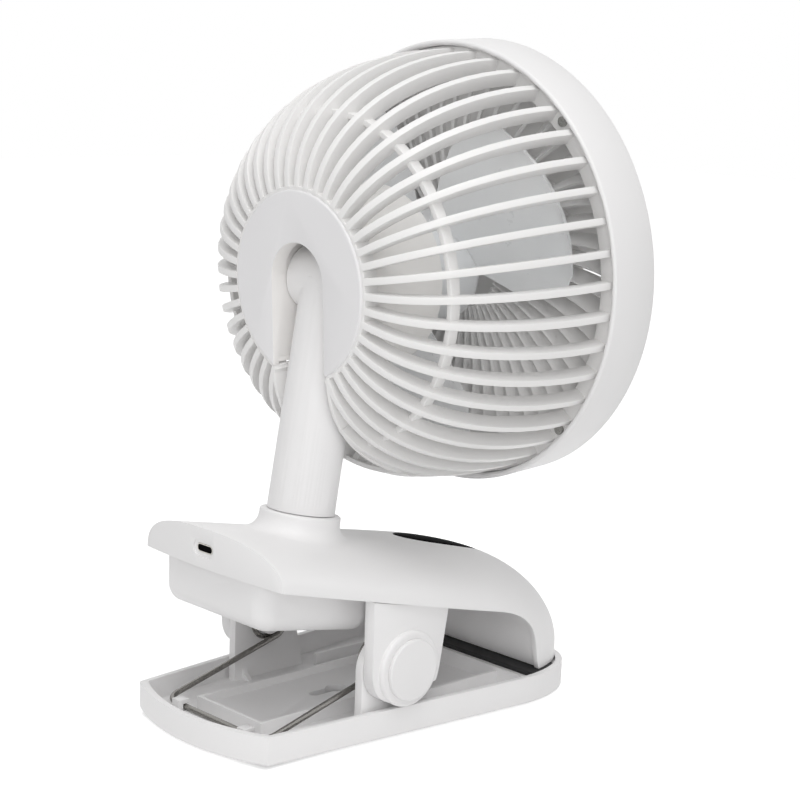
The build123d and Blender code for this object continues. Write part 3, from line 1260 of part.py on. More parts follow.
def fan_blades():
    """The hub cup and its blades, one moulding."""
    cup = rod(HUB_RADIUS, HUB_REAR, HUB_FRONT)
    rim = cup.edges().filter_by(GeomType.CIRCLE).sort_by(Axis.Z)[-1]
    cup = fillet(rim, 4.0)
    turns = [BLADE_REST_ANGLE + 360 * step / BLADE_COUNT for step in range(BLADE_COUNT)]
    blades = [Rot(0, 0, turn) * blade() for turn in turns]
    fan = cup + blades
    fan = fan - rod(HUB_RADIUS - HUB_WALL, HUB_REAR - 12, HUB_FRONT - HUB_WALL)
    fan = fan + rod(4.0, HUB_FRONT - 8.0, HUB_FRONT - 1.0) - rod(SHAFT_RADIUS, HUB_REAR, HUB_FRONT - 3.0)
    return HEAD * fan


def rotor_cup():
    """The steel cup pressed into the hub."""
    outer = HUB_RADIUS - HUB_WALL - 0.05
    z0 = HUB_REAR + 0.6
    z1 = z0 + STATOR_LENGTH + 1.0
    cup = tube(outer, outer - CUP_WALL, z0, z1)
    return HEAD * (cup + tube(outer, 6.0, z1 - 1.0, z1))


def rotor_magnet():
    """The ring magnet inside the steel cup."""
    outer = HUB_RADIUS - HUB_WALL - 0.05 - CUP_WALL
    z0 = HUB_REAR + 1.0
    return HEAD * tube(outer, outer - MAGNET_WALL, z0, z0 + STATOR_LENGTH - 2.0)


def motor_shaft():
    """The steel shaft that carries the blades."""
    return HEAD * rod(SHAFT_RADIUS, DRUM_FRONT - 6.2, HUB_FRONT - 3.2)


# ---------------------------------------------------------------- build
def build_parts():
    """Every sub-part by its name."""
    return {
        "lower_tray": lower_tray(),
        "rubber_feet": rubber_feet(),
        "jaw_pad": jaw_pad(),
        "hinge_pins": hinge_pins(),
        "clip_spring": clip_spring(),
        "upper_shell": upper_shell(),
        "jaw_frame": jaw_frame(),
        "hinge_cap_right": hinge_cap(),
        "hinge_cap_left": mirrored(hinge_cap()),
        "touch_panel": touch_panel(),
        "touch_board": touch_board(),
        "frame_screws": frame_screws(),
        "battery_box": battery_box(),
        "battery_pack": battery_pack(),
        "charging_board": charging_board(),
        "usb_socket": usb_socket(),
        "neck_pole": neck_pole(),
        "swivel_retainer": swivel_retainer(),
        "swivel_screws": swivel_screws(),
        "swivel_washer": swivel_washer(),
        "neck_lead": neck_lead(),
        "rear_cap": rear_cap(),
        "tilt_axle": tilt_axle(),
        "tilt_nuts": tilt_nuts(),
        "tilt_washers": tilt_washers(),
        "motor_housing": motor_housing(),
        "rear_bearing": bearing(DRUM_FRONT - 6.0),
        "front_bearing": bearing(DRUM_FRONT + 1.0 + STATOR_LENGTH - BEARING_WIDTH),
        "motor_board": motor_board(),
        "motor_stator": motor_stator(),
        "motor_windings": motor_windings(),
        "rear_grille": rear_grille(),
        "outer_band": outer_band(),
        "front_grille": front_grille(),
        "front_badge": front_badge(),
        "grille_screws": grille_screws(),
        "fan_blades": fan_blades(),
        "rotor_cup": rotor_cup(),
        "rotor_magnet": rotor_magnet(),
        "motor_shaft": motor_shaft(),
    }


os.makedirs("parts", exist_ok=True)
for node, part in build_parts().items():
    save(node, part)
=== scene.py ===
import json
import logging
from contextlib import contextmanager
from dataclasses import dataclass, field
from enum import Enum
from math import asin, cos, pi, radians, sin, sqrt, tau
from typing import Iterator, Sequence

import bmesh
import bpy
from mathutils import Matrix, Vector


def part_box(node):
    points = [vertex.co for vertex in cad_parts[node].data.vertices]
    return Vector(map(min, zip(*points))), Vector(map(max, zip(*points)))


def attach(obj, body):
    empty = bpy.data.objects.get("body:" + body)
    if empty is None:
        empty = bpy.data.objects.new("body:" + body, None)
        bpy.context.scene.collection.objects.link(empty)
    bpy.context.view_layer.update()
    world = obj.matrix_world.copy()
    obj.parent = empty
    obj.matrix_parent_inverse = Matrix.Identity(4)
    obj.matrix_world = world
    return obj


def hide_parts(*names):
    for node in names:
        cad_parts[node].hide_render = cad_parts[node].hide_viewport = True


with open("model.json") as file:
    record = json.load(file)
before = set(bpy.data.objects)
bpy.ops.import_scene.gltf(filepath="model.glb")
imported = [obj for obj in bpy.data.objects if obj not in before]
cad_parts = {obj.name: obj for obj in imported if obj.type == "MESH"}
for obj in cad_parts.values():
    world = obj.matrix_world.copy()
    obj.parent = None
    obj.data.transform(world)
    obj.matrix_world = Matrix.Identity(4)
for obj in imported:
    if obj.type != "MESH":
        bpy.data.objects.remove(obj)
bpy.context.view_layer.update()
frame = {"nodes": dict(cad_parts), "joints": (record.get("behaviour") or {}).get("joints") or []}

# Clip fan: a caged fan head on a leaning pole, carried by a sprung two-jaw clip. The head's pieces
# and the socket's dark fill are modelled in millimetres and then brought to metres. Pieces that keep
# the frame's shape are merged copies of its nodes, in metres, with rounded edges.

LOG = logging.getLogger("clip_fan")
MILLIMETRE = 0.001
PER_METRE = 1000.0

# Corners nearer than this are one corner: in millimetres, and in a node's copy in metres.
WELD_GAP = 0.002
NODE_WELD_GAP = 2e-6

# Radius of a spun profile's end at its axis, in millimetres: small enough to be welded shut.
POLE_RADIUS = 0.01

# Where a Mix node keeps its two colours and their blend.
MIX_FIRST, MIX_SECOND, MIX_BLEND = 6, 7, 2

# The noise patterns' middle stretch, where most of their values lie.
NOISE_LOW, NOISE_HIGH = 0.3, 0.7

# Width of the slow drift of a moulding's colour, in millimetres.
DRIFT_MM = 45.0

# The largest share of a side that the rounding of one of its corners takes.
SIDE_SHARE = 0.45


class Grain(Enum):
    """How a mould leaves a surface: how strongly its grain stands out and how far its gloss varies."""

    SPARK = (0.35, 0.06)
    SATIN = (0.18, 0.12)
    POLISHED = (0.18, 0.06)

    @property
    def strength(self) -> float:
        """How strongly the grain's relief shows."""
        return self.value[0]

    @property
    def spread(self) -> float:
        """How far the roughness varies from grain to grain."""
        return self.value[1]


# ---------------------------------------- finishes
def linear(sheet: str) -> tuple[float, float, float, float]:
    """Turn an sRGB hex colour to the linear values that a shader takes.

    Args:
        sheet: Six hex digits, such as "ECEBE8".

    Returns:
        Red, green, blue and an opaque alpha.
    """
    parts = [int(sheet[at:at + 2], 16) / 255 for at in (0, 2, 4)]
    lit = [part / 12.92 if part <= 0.04045 else ((part + 0.055) / 1.055) ** 2.4 for part in parts]
    return lit[0], lit[1], lit[2], 1.0


def add_node(tree: bpy.types.NodeTree, kind: str, settings: dict | None = None,
             links: dict | None = None) -> bpy.types.Node:
    """Add one node with its settings and its incoming links.

    Args:
        tree: The material's node tree.
        kind: The node's type name.
        settings: Names or numbers of sockets, or names of properties, and their values.
        links: Names or numbers of input sockets and the output sockets that feed them.

    Returns:
        The new node.
    """
    node = tree.nodes.new(kind)
    for name, value in (settings or {}).items():
        if isinstance(name, int) or name in node.inputs:
            node.inputs[name].default_value = value
        else:
            setattr(node, name, value)
    for name, source in (links or {}).items():
        tree.links.new(source, node.inputs[name])
    return node


def blank_material(name: str) -> tuple[bpy.types.Material, bpy.types.NodeTree]:
    """Make an empty node material.

    Args:
        name: The material's name.

    Returns:
        The material and its empty node tree.
    """
    material = bpy.data.materials.new(name)
    material.use_nodes = True
    material.node_tree.nodes.clear()
    return material, material.node_tree


@dataclass(frozen=True)
class Finish:
    """What a surface is made of.

    Attributes:
        name: The real material and how its surface was made, and any light or shade painted into it.
        tint: The main colour, sRGB hex.
        drift: The colour it drifts to in patches, sRGB hex.
        roughness: Mean roughness.
    """

    name: str
    tint: str
    drift: str
    roughness: float

    def material(self) -> bpy.types.Material:
        """Give the finish's material, made once."""
        material = bpy.data.materials.get(self.name)
        if material is None:
            material, tree = blank_material(self.name)
            place = add_node(tree, "ShaderNodeTexCoord").outputs["Object"]
            surface = self.shader(tree, place).outputs["BSDF"]
            add_node(tree, "ShaderNodeOutputMaterial", links={"Surface": surface})
        return material

    def shader(self, tree: bpy.types.NodeTree, place: bpy.types.NodeSocket) -> bpy.types.Node:
        """Add the finish's shader. Each kind of finish has its own."""
        raise NotImplementedError


@dataclass(frozen=True)
class Moulding(Finish):
    """An injection-moulded plastic or rubber: its colour, grain and gloss.

    Attributes:
        grain_mm: Width of one grain as drawn.
        grain_depth_mm: How deep the grain is.
        grain: How the mould was finished.
        ior: Refractive index.
        sheen_level: How strongly it mirrors, 0.5 being the plain level.
        glow: Share of light that scatters inside, for thin pale pieces.
    """

    grain_mm: float = 0.5
    grain_depth_mm: float = 0.02
    grain: Grain = Grain.SPARK
    ior: float = 1.54
    sheen_level: float = 0.5
    glow: float = 0.0

    def shader(self, tree: bpy.types.NodeTree, place: bpy.types.NodeSocket) -> bpy.types.Node:
        """Add the moulding's shader, which drifts slowly in colour and has the mould's grain.

        Args:
            tree: The material's node tree.
            place: The surface's place.

        Returns:
            The shader's node.
        """
        broad = add_node(tree, "ShaderNodeTexNoise", {"Scale": PER_METRE / DRIFT_MM, "Detail": 2.0},
                         {"Vector": place})
        fine = add_node(tree, "ShaderNodeTexNoise",
                        {"Scale": PER_METRE / self.grain_mm, "Detail": 3.0, "Roughness": 0.6},
                        {"Vector": place})
        colour = add_node(tree, "ShaderNodeMix",
                          {"data_type": "RGBA", MIX_FIRST: linear(self.tint),
                           MIX_SECOND: linear(self.drift)}, {0: broad.outputs["Fac"]})
        half = self.grain.spread / 2
        gloss = add_node(tree, "ShaderNodeMapRange",
                         {"From Min": NOISE_LOW, "From Max": NOISE_HIGH,
                          "To Min": self.roughness - half, "To Max": self.roughness + half},
                         {"Value": fine.outputs["Fac"]})
        relief = add_node(tree, "ShaderNodeBump",
                          {"Strength": self.grain.strength,
                           "Distance": self.grain_depth_mm * MILLIMETRE},
                          {"Height": fine.outputs["Fac"]})
        return add_node(tree, "ShaderNodeBsdfPrincipled",
                        {"IOR": self.ior, "Specular IOR Level": self.sheen_level,
                         "Subsurface Weight": self.glow, "Subsurface Scale": 0.0015,
                         "Subsurface Radius": (1.0, 1.0, 1.0)},
                        {"Base Color": colour.outputs[MIX_BLEND],
                         "Roughness": gloss.outputs["Result"], "Normal": relief.outputs["Normal"]})


@dataclass(frozen=True)
class Metal(Finish):
    """A bare or plated metal with the fine marks of its making.

    Attributes:
        mark_mm: Width of one mark.
        stretch: How the marks are stretched along X, Y and Z.
    """

    mark_mm: float = 0.4
    stretch: tuple[float, float, float] = (1.0, 1.0, 1.0)

    def shader(self, tree: bpy.types.NodeTree, place: bpy.types.NodeSocket) -> bpy.types.Node:
        """Add the metal's shader, whose marks vary its colour and gloss.

        Args:
            tree: The material's node tree.
            place: The surface's place.

        Returns:
            The shader's node.
        """
        along = add_node(tree, "ShaderNodeMapping", {"Scale": self.stretch}, {"Vector": place})
        marks = add_node(tree, "ShaderNodeTexNoise",
                         {"Scale": PER_METRE / self.mark_mm, "Detail": 4.0},
                         {"Vector": along.outputs["Vector"]}).outputs["Fac"]
        colour = add_node(tree, "ShaderNodeMix",
                          {"data_type": "RGBA", MIX_FIRST: linear(self.tint),
                           MIX_SECOND: linear(self.drift)}, {0: marks})
        gloss = add_node(tree, "ShaderNodeMapRange",
                         {"From Min": NOISE_LOW, "From Max": NOISE_HIGH,
                          "To Min": self.roughness * 0.75, "To Max": self.roughness * 1.3},
                         {"Value": marks})
        relief = add_node(tree, "ShaderNodeBump", {"Strength": 0.2, "Distance": 0.01 * MILLIMETRE},
                          {"Height": marks})
        return add_node(tree, "ShaderNodeBsdfPrincipled", {"Metallic": 1.0},
                        {"Base Color": colour.outputs[MIX_BLEND],
                         "Roughness": gloss.outputs["Result"], "Normal": relief.outputs["Normal"]})


# White ABS from a spark-eroded mould: matte, with a grain that just breaks the highlight. The real
# grain is about 0.2 mm wide and too fine for the render, so it is drawn four times as coarse, and
# the grain of the other mouldings in the same way.
SHELL_ABS = Moulding("abs_white_spark_textured", "F1F0F0", "ECEBEB", 0.46, 0.8, 0.05)
# Rear disc and front badge: the shells' ABS a little greyer, as painted shade on the disc.
CAP_ABS_PAINTED_SHADE = Moulding("abs_spark_textured_painted_shade", "EFEEEF", "E9E8E9", 0.5, 0.8, 0.055)
# Satin white polypropylene of the grilles: smoother than the shells, with a softer highlight.
GRILLE_PP = Moulding("polypropylene_white_satin", "F2F1F0", "EDECEB", 0.38, 0.9, 0.012,
                     Grain.SATIN, 1.49)
# The same polypropylene in the thin front vanes, which pass some light; a little whiter than the grilles,
# as painted light.
VANE_PP_PAINTED_LIGHT = Moulding("polypropylene_thin_painted_light", "F6F5F4", "F1F0EF", 0.4, 0.9, 0.012,
                   Grain.SATIN, 1.49, glow=0.45)
# Slot walls behind the rear disc: ABS whiter than the shells, plain mould grain, as painted light.
SLOT_PAINTED_LIGHT = Moulding("abs_slot_painted_light", "F7F5F3", "F3F1EF", 0.44, 0.7, 0.015, Grain.SATIN)
# The motor's drum: plain warm white ABS, unpainted.
DRUM_ABS = Moulding("abs_warm_white_plain", "F7F5F3", "F2F0ED", 0.42, 0.7, 0.015, Grain.SATIN)
# The blades: milky styrene, smooth, passing some light, a little cooler than the white round it.
BLADE_SAN = Moulding("styrene_smoke_moulded", "F2F2F2", "E6E9EB", 0.3, 6.0, 0.004,
                     Grain.POLISHED, 1.57, glow=0.4)
# The touch panel: polished black acrylic. It mirrors less than a real one, because the white room
# would turn it grey at a low angle, where the photograph shows it black.
PANEL_PMMA = Moulding("acrylic_black_polished", "050506", "08080A", 0.34, 6.0, 0.004,
                      Grain.POLISHED, 1.49, sheen_level=0.0003)
# Black rubber strip: matte, with a coarse mould grain.
PAD_RUBBER = Moulding("rubber_black_moulded", "161617", "1E1E1F", 0.7, 0.7, 0.05, ior=1.52)
# Pale grey rubber feet.
FOOT_RUBBER = Moulding("rubber_pale_moulded", "C9C8C6", "BDBCBA", 0.72, 0.7, 0.05, ior=1.52)
# Inner plates of plain nylon.
INNER_NYLON = Moulding("nylon_natural_moulded", "CFCDC8", "C4C2BC", 0.5, 0.8, 0.02, Grain.SATIN)
# Black fill just inside the charging socket's mouth: its black insulator, and painted shade for the
# cavity.
INSULATOR_AND_SHADE_LCP = Moulding("lcp_black_insulator_and_painted_shade", "060607", "0A0A0B", 0.6, 0.5, 0.02,
                     sheen_level=0.01)
# Solder mask over copper on glass-filled board.
BOARD_MASK = Moulding("circuit_board_solder_mask", "1E5A33", "184B2A", 0.35, 0.35, 0.02, Grain.SATIN)
# Blue shrink film over the cells.
CELL_FILM = Moulding("shrink_film_blue", "2C5C9A", "24508A", 0.25, 3.0, 0.02, Grain.SATIN)
# Black sheath of the motor's lead.
LEAD_PVC = Moulding("pvc_black_extruded", "151516", "1D1D1E", 0.5, 0.8, 0.02, Grain.SATIN)
# Sintered magnet, dark and dull.
MAGNET_FERRITE = Moulding("ferrite_sintered", "3A3A3C", "2E2E30", 0.65, 0.4, 0.03)
# Drawn spring wire: mid grey, with fine marks of the die.
SPRING_WIRE = Metal("spring_steel_drawn", "A3A19D", "7A7875", 0.28, 0.35)
# Ground pins and shafts.
PIN_STEEL = Metal("steel_ground", "C4C4C4", "A2A2A2", 0.22, 0.2, (0.2, 1.0, 1.0))
# Zinc-plated screws, nuts and bearings.
SCREW_ZINC = Metal("steel_zinc_plated", "BDBDBA", "9B9B98", 0.3, 0.5)
# Nickel-plated shell of the charging socket.
SOCKET_NICKEL = Metal("steel_nickel_plated", "C9C6C0", "B0ADA7", 0.24, 0.4)
# Laminated core and rolled cup.
CORE_IRON = Metal("electrical_steel_laminated", "8B8B8E", "6E6E72", 0.42, 0.5, (1.0, 6.0, 1.0))
# Enamelled copper wire.
COIL_COPPER = Metal("copper_enamelled", "C4763F", "A85F2F", 0.3, 0.35)


# ---------------------------------------- frames
def joint_frame(name: str) -> Matrix:
    """The frame of a joint: its X is the object's X and its Z runs along the joint's axis.

    Args:
        name: The joint's name.

    Returns:
        The matrix from that frame, in millimetres, to the object's frame in metres.
    """
    joint = next(entry for entry in frame["joints"] if entry["name"] == name)
    across = Vector((1, 0, 0))
    ahead = Vector(joint["axis"]).normalized()
    turn = Matrix((across, ahead.cross(across), ahead)).transposed().to_4x4()
    return Matrix.Translation(Vector(joint["pos_m"])) @ turn @ Matrix.Scale(MILLIMETRE, 4)


HEAD = joint_frame("fan_spin")
WORLD = Matrix.Scale(MILLIMETRE, 4)


# ---------------------------------------- modelling by hand
def fresh() -> None:
    """Leave edit mode and deselect everything, since operators act on all that is selected."""
    if bpy.context.object and bpy.context.object.mode != "OBJECT":
        bpy.ops.object.mode_set(mode="OBJECT")
    bpy.ops.object.select_all(action="DESELECT")


def pick(piece: bpy.types.Object) -> None:
    """Make a piece the only selected and the active one."""
    fresh()
    bpy.context.view_layer.objects.active = piece
    piece.select_set(True)


@contextmanager
def editing(piece: bpy.types.Object) -> Iterator[None]:
    """Work on a piece in edit mode with all of it selected."""
    pick(piece)
    bpy.ops.object.mode_set(mode="EDIT")
    bpy.ops.mesh.select_all(action="SELECT")
    yield
    bpy.ops.object.mode_set(mode="OBJECT")


def outlined(corners: Sequence[Vector], filled: bool) -> bpy.types.Object:
    """Start a piece from a circle whose corners are set on an outline.

    Args:
        corners: The outline's corners in order.
        filled: Whether a face fills it.

    Returns:
        The piece.
    """
    fresh()
    bpy.ops.mesh.primitive_circle_add(vertices=len(corners), radius=1.0,
                                      fill_type="NGON" if filled else "NOTHING")
    piece = bpy.context.object
    for corner, place in zip(piece.data.vertices, corners):
        corner.co = place
    return piece


def outwards() -> None:
    """In edit mode, close what is open and turn every face outwards."""
    bpy.ops.mesh.select_all(action="SELECT")
    bpy.ops.mesh.remove_doubles(threshold=WELD_GAP)
    bpy.ops.mesh.fill_holes(sides=0)
    bpy.ops.mesh.normals_make_consistent(inside=False)


def drawn(sections: Sequence[Sequence[Vector]]) -> bpy.types.Object:
    """Pull a filled outline from section to section by extrusion.

    Args:
        sections: Outlines with the same number of corners, in order.

    Returns:
        The closed piece.
    """
    piece = outlined(sections[0], True)
    with editing(piece):
        for before, after in zip(sections, sections[1:]):
            shift = sum(after, Vector()) / len(after) - sum(before, Vector()) / len(before)
            bpy.ops.mesh.extrude_region_move(TRANSFORM_OT_translate={"value": shift})
            form = bmesh.from_edit_mesh(piece.data)
            for corner in [spot for spot in form.verts if spot.select]:
                nearest = min(range(len(before)),
                              key=lambda at: (before[at] + shift - corner.co).length_squared)
                corner.co = after[nearest]
            bmesh.update_edit_mesh(piece.data)
        outwards()
    return piece


def spun(profile: Sequence[tuple[float, float]], steps: int, start: float = 0.0,
         sweep: float = tau) -> bpy.types.Object:
    """Spin a closed profile about the frame's Z.

    Args:
        profile: Corners as (radius, height).
        steps: Steps of the spin.
        start: Angle at which it starts.
        sweep: How far it turns, towards the frame's Y. The operator counts the other way.

    Returns:
        The closed ring, or stretch of a ring.
    """
    piece = outlined([Vector((r * cos(start), r * sin(start), z)) for r, z in profile], False)
    with editing(piece):
        bpy.ops.mesh.spin(steps=steps, angle=-sweep, center=(0, 0, 0), axis=(0, 0, 1))
        outwards()
    return piece


def eased(corners: Sequence[tuple[float, float]], radius: float,
          steps: int = 3) -> list[tuple[float, float]]:
    """Round the corners of a flat outline.

    Args:
        corners: The outline's sharp corners.
        radius: Radius of the rounding.
        steps: Points on each rounded corner, less one.

    Returns:
        The outline with rounded corners.
    """
    rounded = []
    count = len(corners)
    for at in range(count):
        corner = Vector(corners[at])
        before = Vector(corners[at - 1]) - corner
        after = Vector(corners[(at + 1) % count]) - corner
        reach = min(radius, before.length * SIDE_SHARE, after.length * SIDE_SHARE)
        first = corner + before.normalized() * reach
        last = corner + after.normalized() * reach
        for step in range(steps + 1):
            share = step / steps
            bend = first * (1 - share) ** 2 + corner * 2 * share * (1 - share) + last * share ** 2
            rounded.append((bend.x, bend.y))
    return rounded


def soften(piece: bpy.types.Object, width: float, segments: int = 2) -> None:
    """Round a piece's sharp edges with a bevel modifier and apply it.

    Args:
        piece: The piece.
        width: The bevel's width, in the piece's own unit.
        segments: Faces across each rounded edge.
    """
    pick(piece)
    rounding = piece.modifiers.new("rounding", "BEVEL")
    rounding.width = width
    rounding.segments = segments
    rounding.limit_method = "ANGLE"
    rounding.angle_limit = radians(30)
    rounding.use_clamp_overlap = True
    bpy.ops.object.modifier_apply(modifier=rounding.name)


def merged_copy(node: str) -> bpy.types.Object:
    """Copy a CAD node's mesh and merge its loose triangles to clean faces.

    Args:
        node: The node's name.

    Returns:
        The copy, in metres.
    """
    piece = bpy.data.objects.new(node + "_piece", frame["nodes"][node].data.copy())
    bpy.context.scene.collection.objects.link(piece)
    pick(piece)
    if piece.data.has_custom_normals:
        bpy.ops.mesh.customdata_custom_splitnormals_clear()
    with editing(piece):
        bpy.ops.mesh.remove_doubles(threshold=NODE_WELD_GAP)
        bpy.ops.mesh.dissolve_limited(angle_limit=radians(1.0), delimit={"NORMAL"})
    return piece


def repeated(piece: bpy.types.Object, turns: Sequence[Matrix]) -> bpy.types.Object:
    """Copy a piece to several places, each copy with its own mesh, and join the copies.

    Args:
        piece: The piece as modelled.
        turns: Where each copy goes.

    Returns:
        The joined copies.
    """
    copies = []
    for turn in turns:
        copy = bpy.data.objects.new(piece.name, piece.data.copy())
        bpy.context.scene.collection.objects.link(copy)
        copy.data.transform(turn)
        if turn.determinant() < 0:
            copy.data.flip_normals()
        copies.append(copy)
    bpy.data.objects.remove(piece)
    return together(copies)


def together(pieces: Sequence[bpy.types.Object]) -> bpy.types.Object:
    """Join several pieces to one object."""
    pick(pieces[0])
    for piece in pieces[1:]:
        piece.select_set(True)
    bpy.ops.object.join()
    return pieces[0]


def settle(piece: bpy.types.Object, name: str, body: str, finish: Finish,
           place: Matrix | None = None, stands_for: Sequence[str] = (),
           smooth: float = 40.0) -> bpy.types.Object:
    """Bring a finished piece to its place, give it its finish, hang it on its body and hide the nodes it
    stands for.

    Args:
        piece: The piece.
        name: Its name.
        body: The body that it rides on.
        finish: Its finish.
        place: The frame that it was modelled in, if not metres.
        stands_for: CAD nodes that it stands for.
        smooth: Edges flatter than this many degrees are shaded smooth.

    Returns:
        The piece.
    """
    if place:
        piece.data.transform(place)
    piece.name = name
    piece.data.name = name
    piece.data.materials.clear()
    piece.data.materials.append(finish.material())
    pick(piece)
    bpy.ops.object.shade_smooth_by_angle(angle=radians(smooth))
    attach(piece, body)
    if stands_for:
        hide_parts(*stands_for)
    faces = sum(len(side.vertices) - 2 for side in piece.data.polygons)
    LOG.info("%s: %d triangles on %s", name, faces, body)
    return piece


def softened(node: str, body: str, finish: Finish,
             width_mm: float) -> bpy.types.Object:
    """Stand in for a CAD node with a merged copy whose edges are rounded as a mould leaves them.

    Args:
        node: The node's name.
        body: The body that it rides on.
        finish: Its finish.
        width_mm: Width of the rounding.

    Returns:
        The piece.
    """
    piece = merged_copy(node)
    soften(piece, width_mm * MILLIMETRE)
    return settle(piece, node + "_moulded", body, finish, stands_for=(node,))


def dress(finishes: dict[str, Finish]) -> None:
    """Give carried-over CAD nodes their finishes.

    Args:
        finishes: Node names and their finishes.
    """
    for node, finish in finishes.items():
        carried = frame["nodes"][node]
        carried.data.materials.clear()
        carried.data.materials.append(finish.material())
        LOG.info("%s: CAD shape in %s", node, finish.name)


# ---------------------------------------- sub-assemblies
@dataclass
class LowerJaw:
    """The tray with its pan, hooks and brackets, its feet, pad, pins and spring."""

    tray_rounding: float = 0.45
    pad_rounding: float = 0.3

    def build(self) -> None:
        """Build and dress the lower jaw."""
        softened("lower_tray", "lower_jaw", SHELL_ABS, self.tray_rounding)
        softened("jaw_pad", "lower_jaw", PAD_RUBBER, self.pad_rounding)
        dress({"rubber_feet": FOOT_RUBBER, "hinge_pins": PIN_STEEL, "clip_spring": SPRING_WIRE})


@dataclass
class UpperJaw:
    """The shell with its collar, the frame with its ears, caps, panel, box and socket."""

    shell_rounding: float = 0.7
    frame_rounding: float = 0.5
    cap_rounding: float = 0.35
    panel_rounding: float = 0.25
    fill_width: float = 8.0
    fill_height: float = 2.3
    fill_depth: float = 3.0
    fill_setback: float = 0.35

    def build(self) -> None:
        """Build and dress the upper jaw."""
        body = "upper_jaw"
        softened("upper_shell", body, SHELL_ABS, self.shell_rounding)
        softened("jaw_frame", body, SHELL_ABS, self.frame_rounding)
        softened("battery_box", body, SHELL_ABS, self.frame_rounding)
        for side in ("right", "left"):
            softened("hinge_cap_" + side, body, SHELL_ABS, self.cap_rounding)
        softened("touch_panel", body, PANEL_PMMA, self.panel_rounding)
        self.socket_insulator_and_shade()
        dress({"touch_board": BOARD_MASK, "frame_screws": SCREW_ZINC, "battery_pack": CELL_FILM,
               "charging_board": BOARD_MASK, "usb_socket": SOCKET_NICKEL})

    def socket_insulator_and_shade(self) -> None:
        """Build the dark fill that closes the socket just inside its mouth: the black insulator and
        painted shade.
        """
        low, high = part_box("usb_socket")
        middle = (Vector(low) + Vector(high)) / 2 * PER_METRE
        mouth = high[1] * PER_METRE - self.fill_setback
        half_width = self.fill_width / 2
        half_height = self.fill_height / 2
        outline = eased([(-half_width, -half_height), (half_width, -half_height),
                         (half_width, half_height), (-half_width, half_height)], half_height, 4)
        near = [Vector((x, mouth, middle.z + z)) for x, z in outline]
        far = [spot - Vector((0, self.fill_depth, 0)) for spot in near]
        piece = drawn([near, far])
        # The fill is partly the socket's black insulator and partly painted shade for its hollow.
        settle(piece, "socket_insulator_and_shade", "upper_jaw", INSULATOR_AND_SHADE_LCP, WORLD)


@dataclass
class Neck:
    """The hollow pole with its tilt knuckle."""

    rounding: float = 0.5

    def build(self) -> None:
        """Build and dress the neck."""
        softened("neck_pole", "neck", SHELL_ABS, self.rounding)
        dress({"swivel_retainer": INNER_NYLON, "swivel_screws": SCREW_ZINC,
               "swivel_washer": INNER_NYLON, "neck_lead": LEAD_PVC})


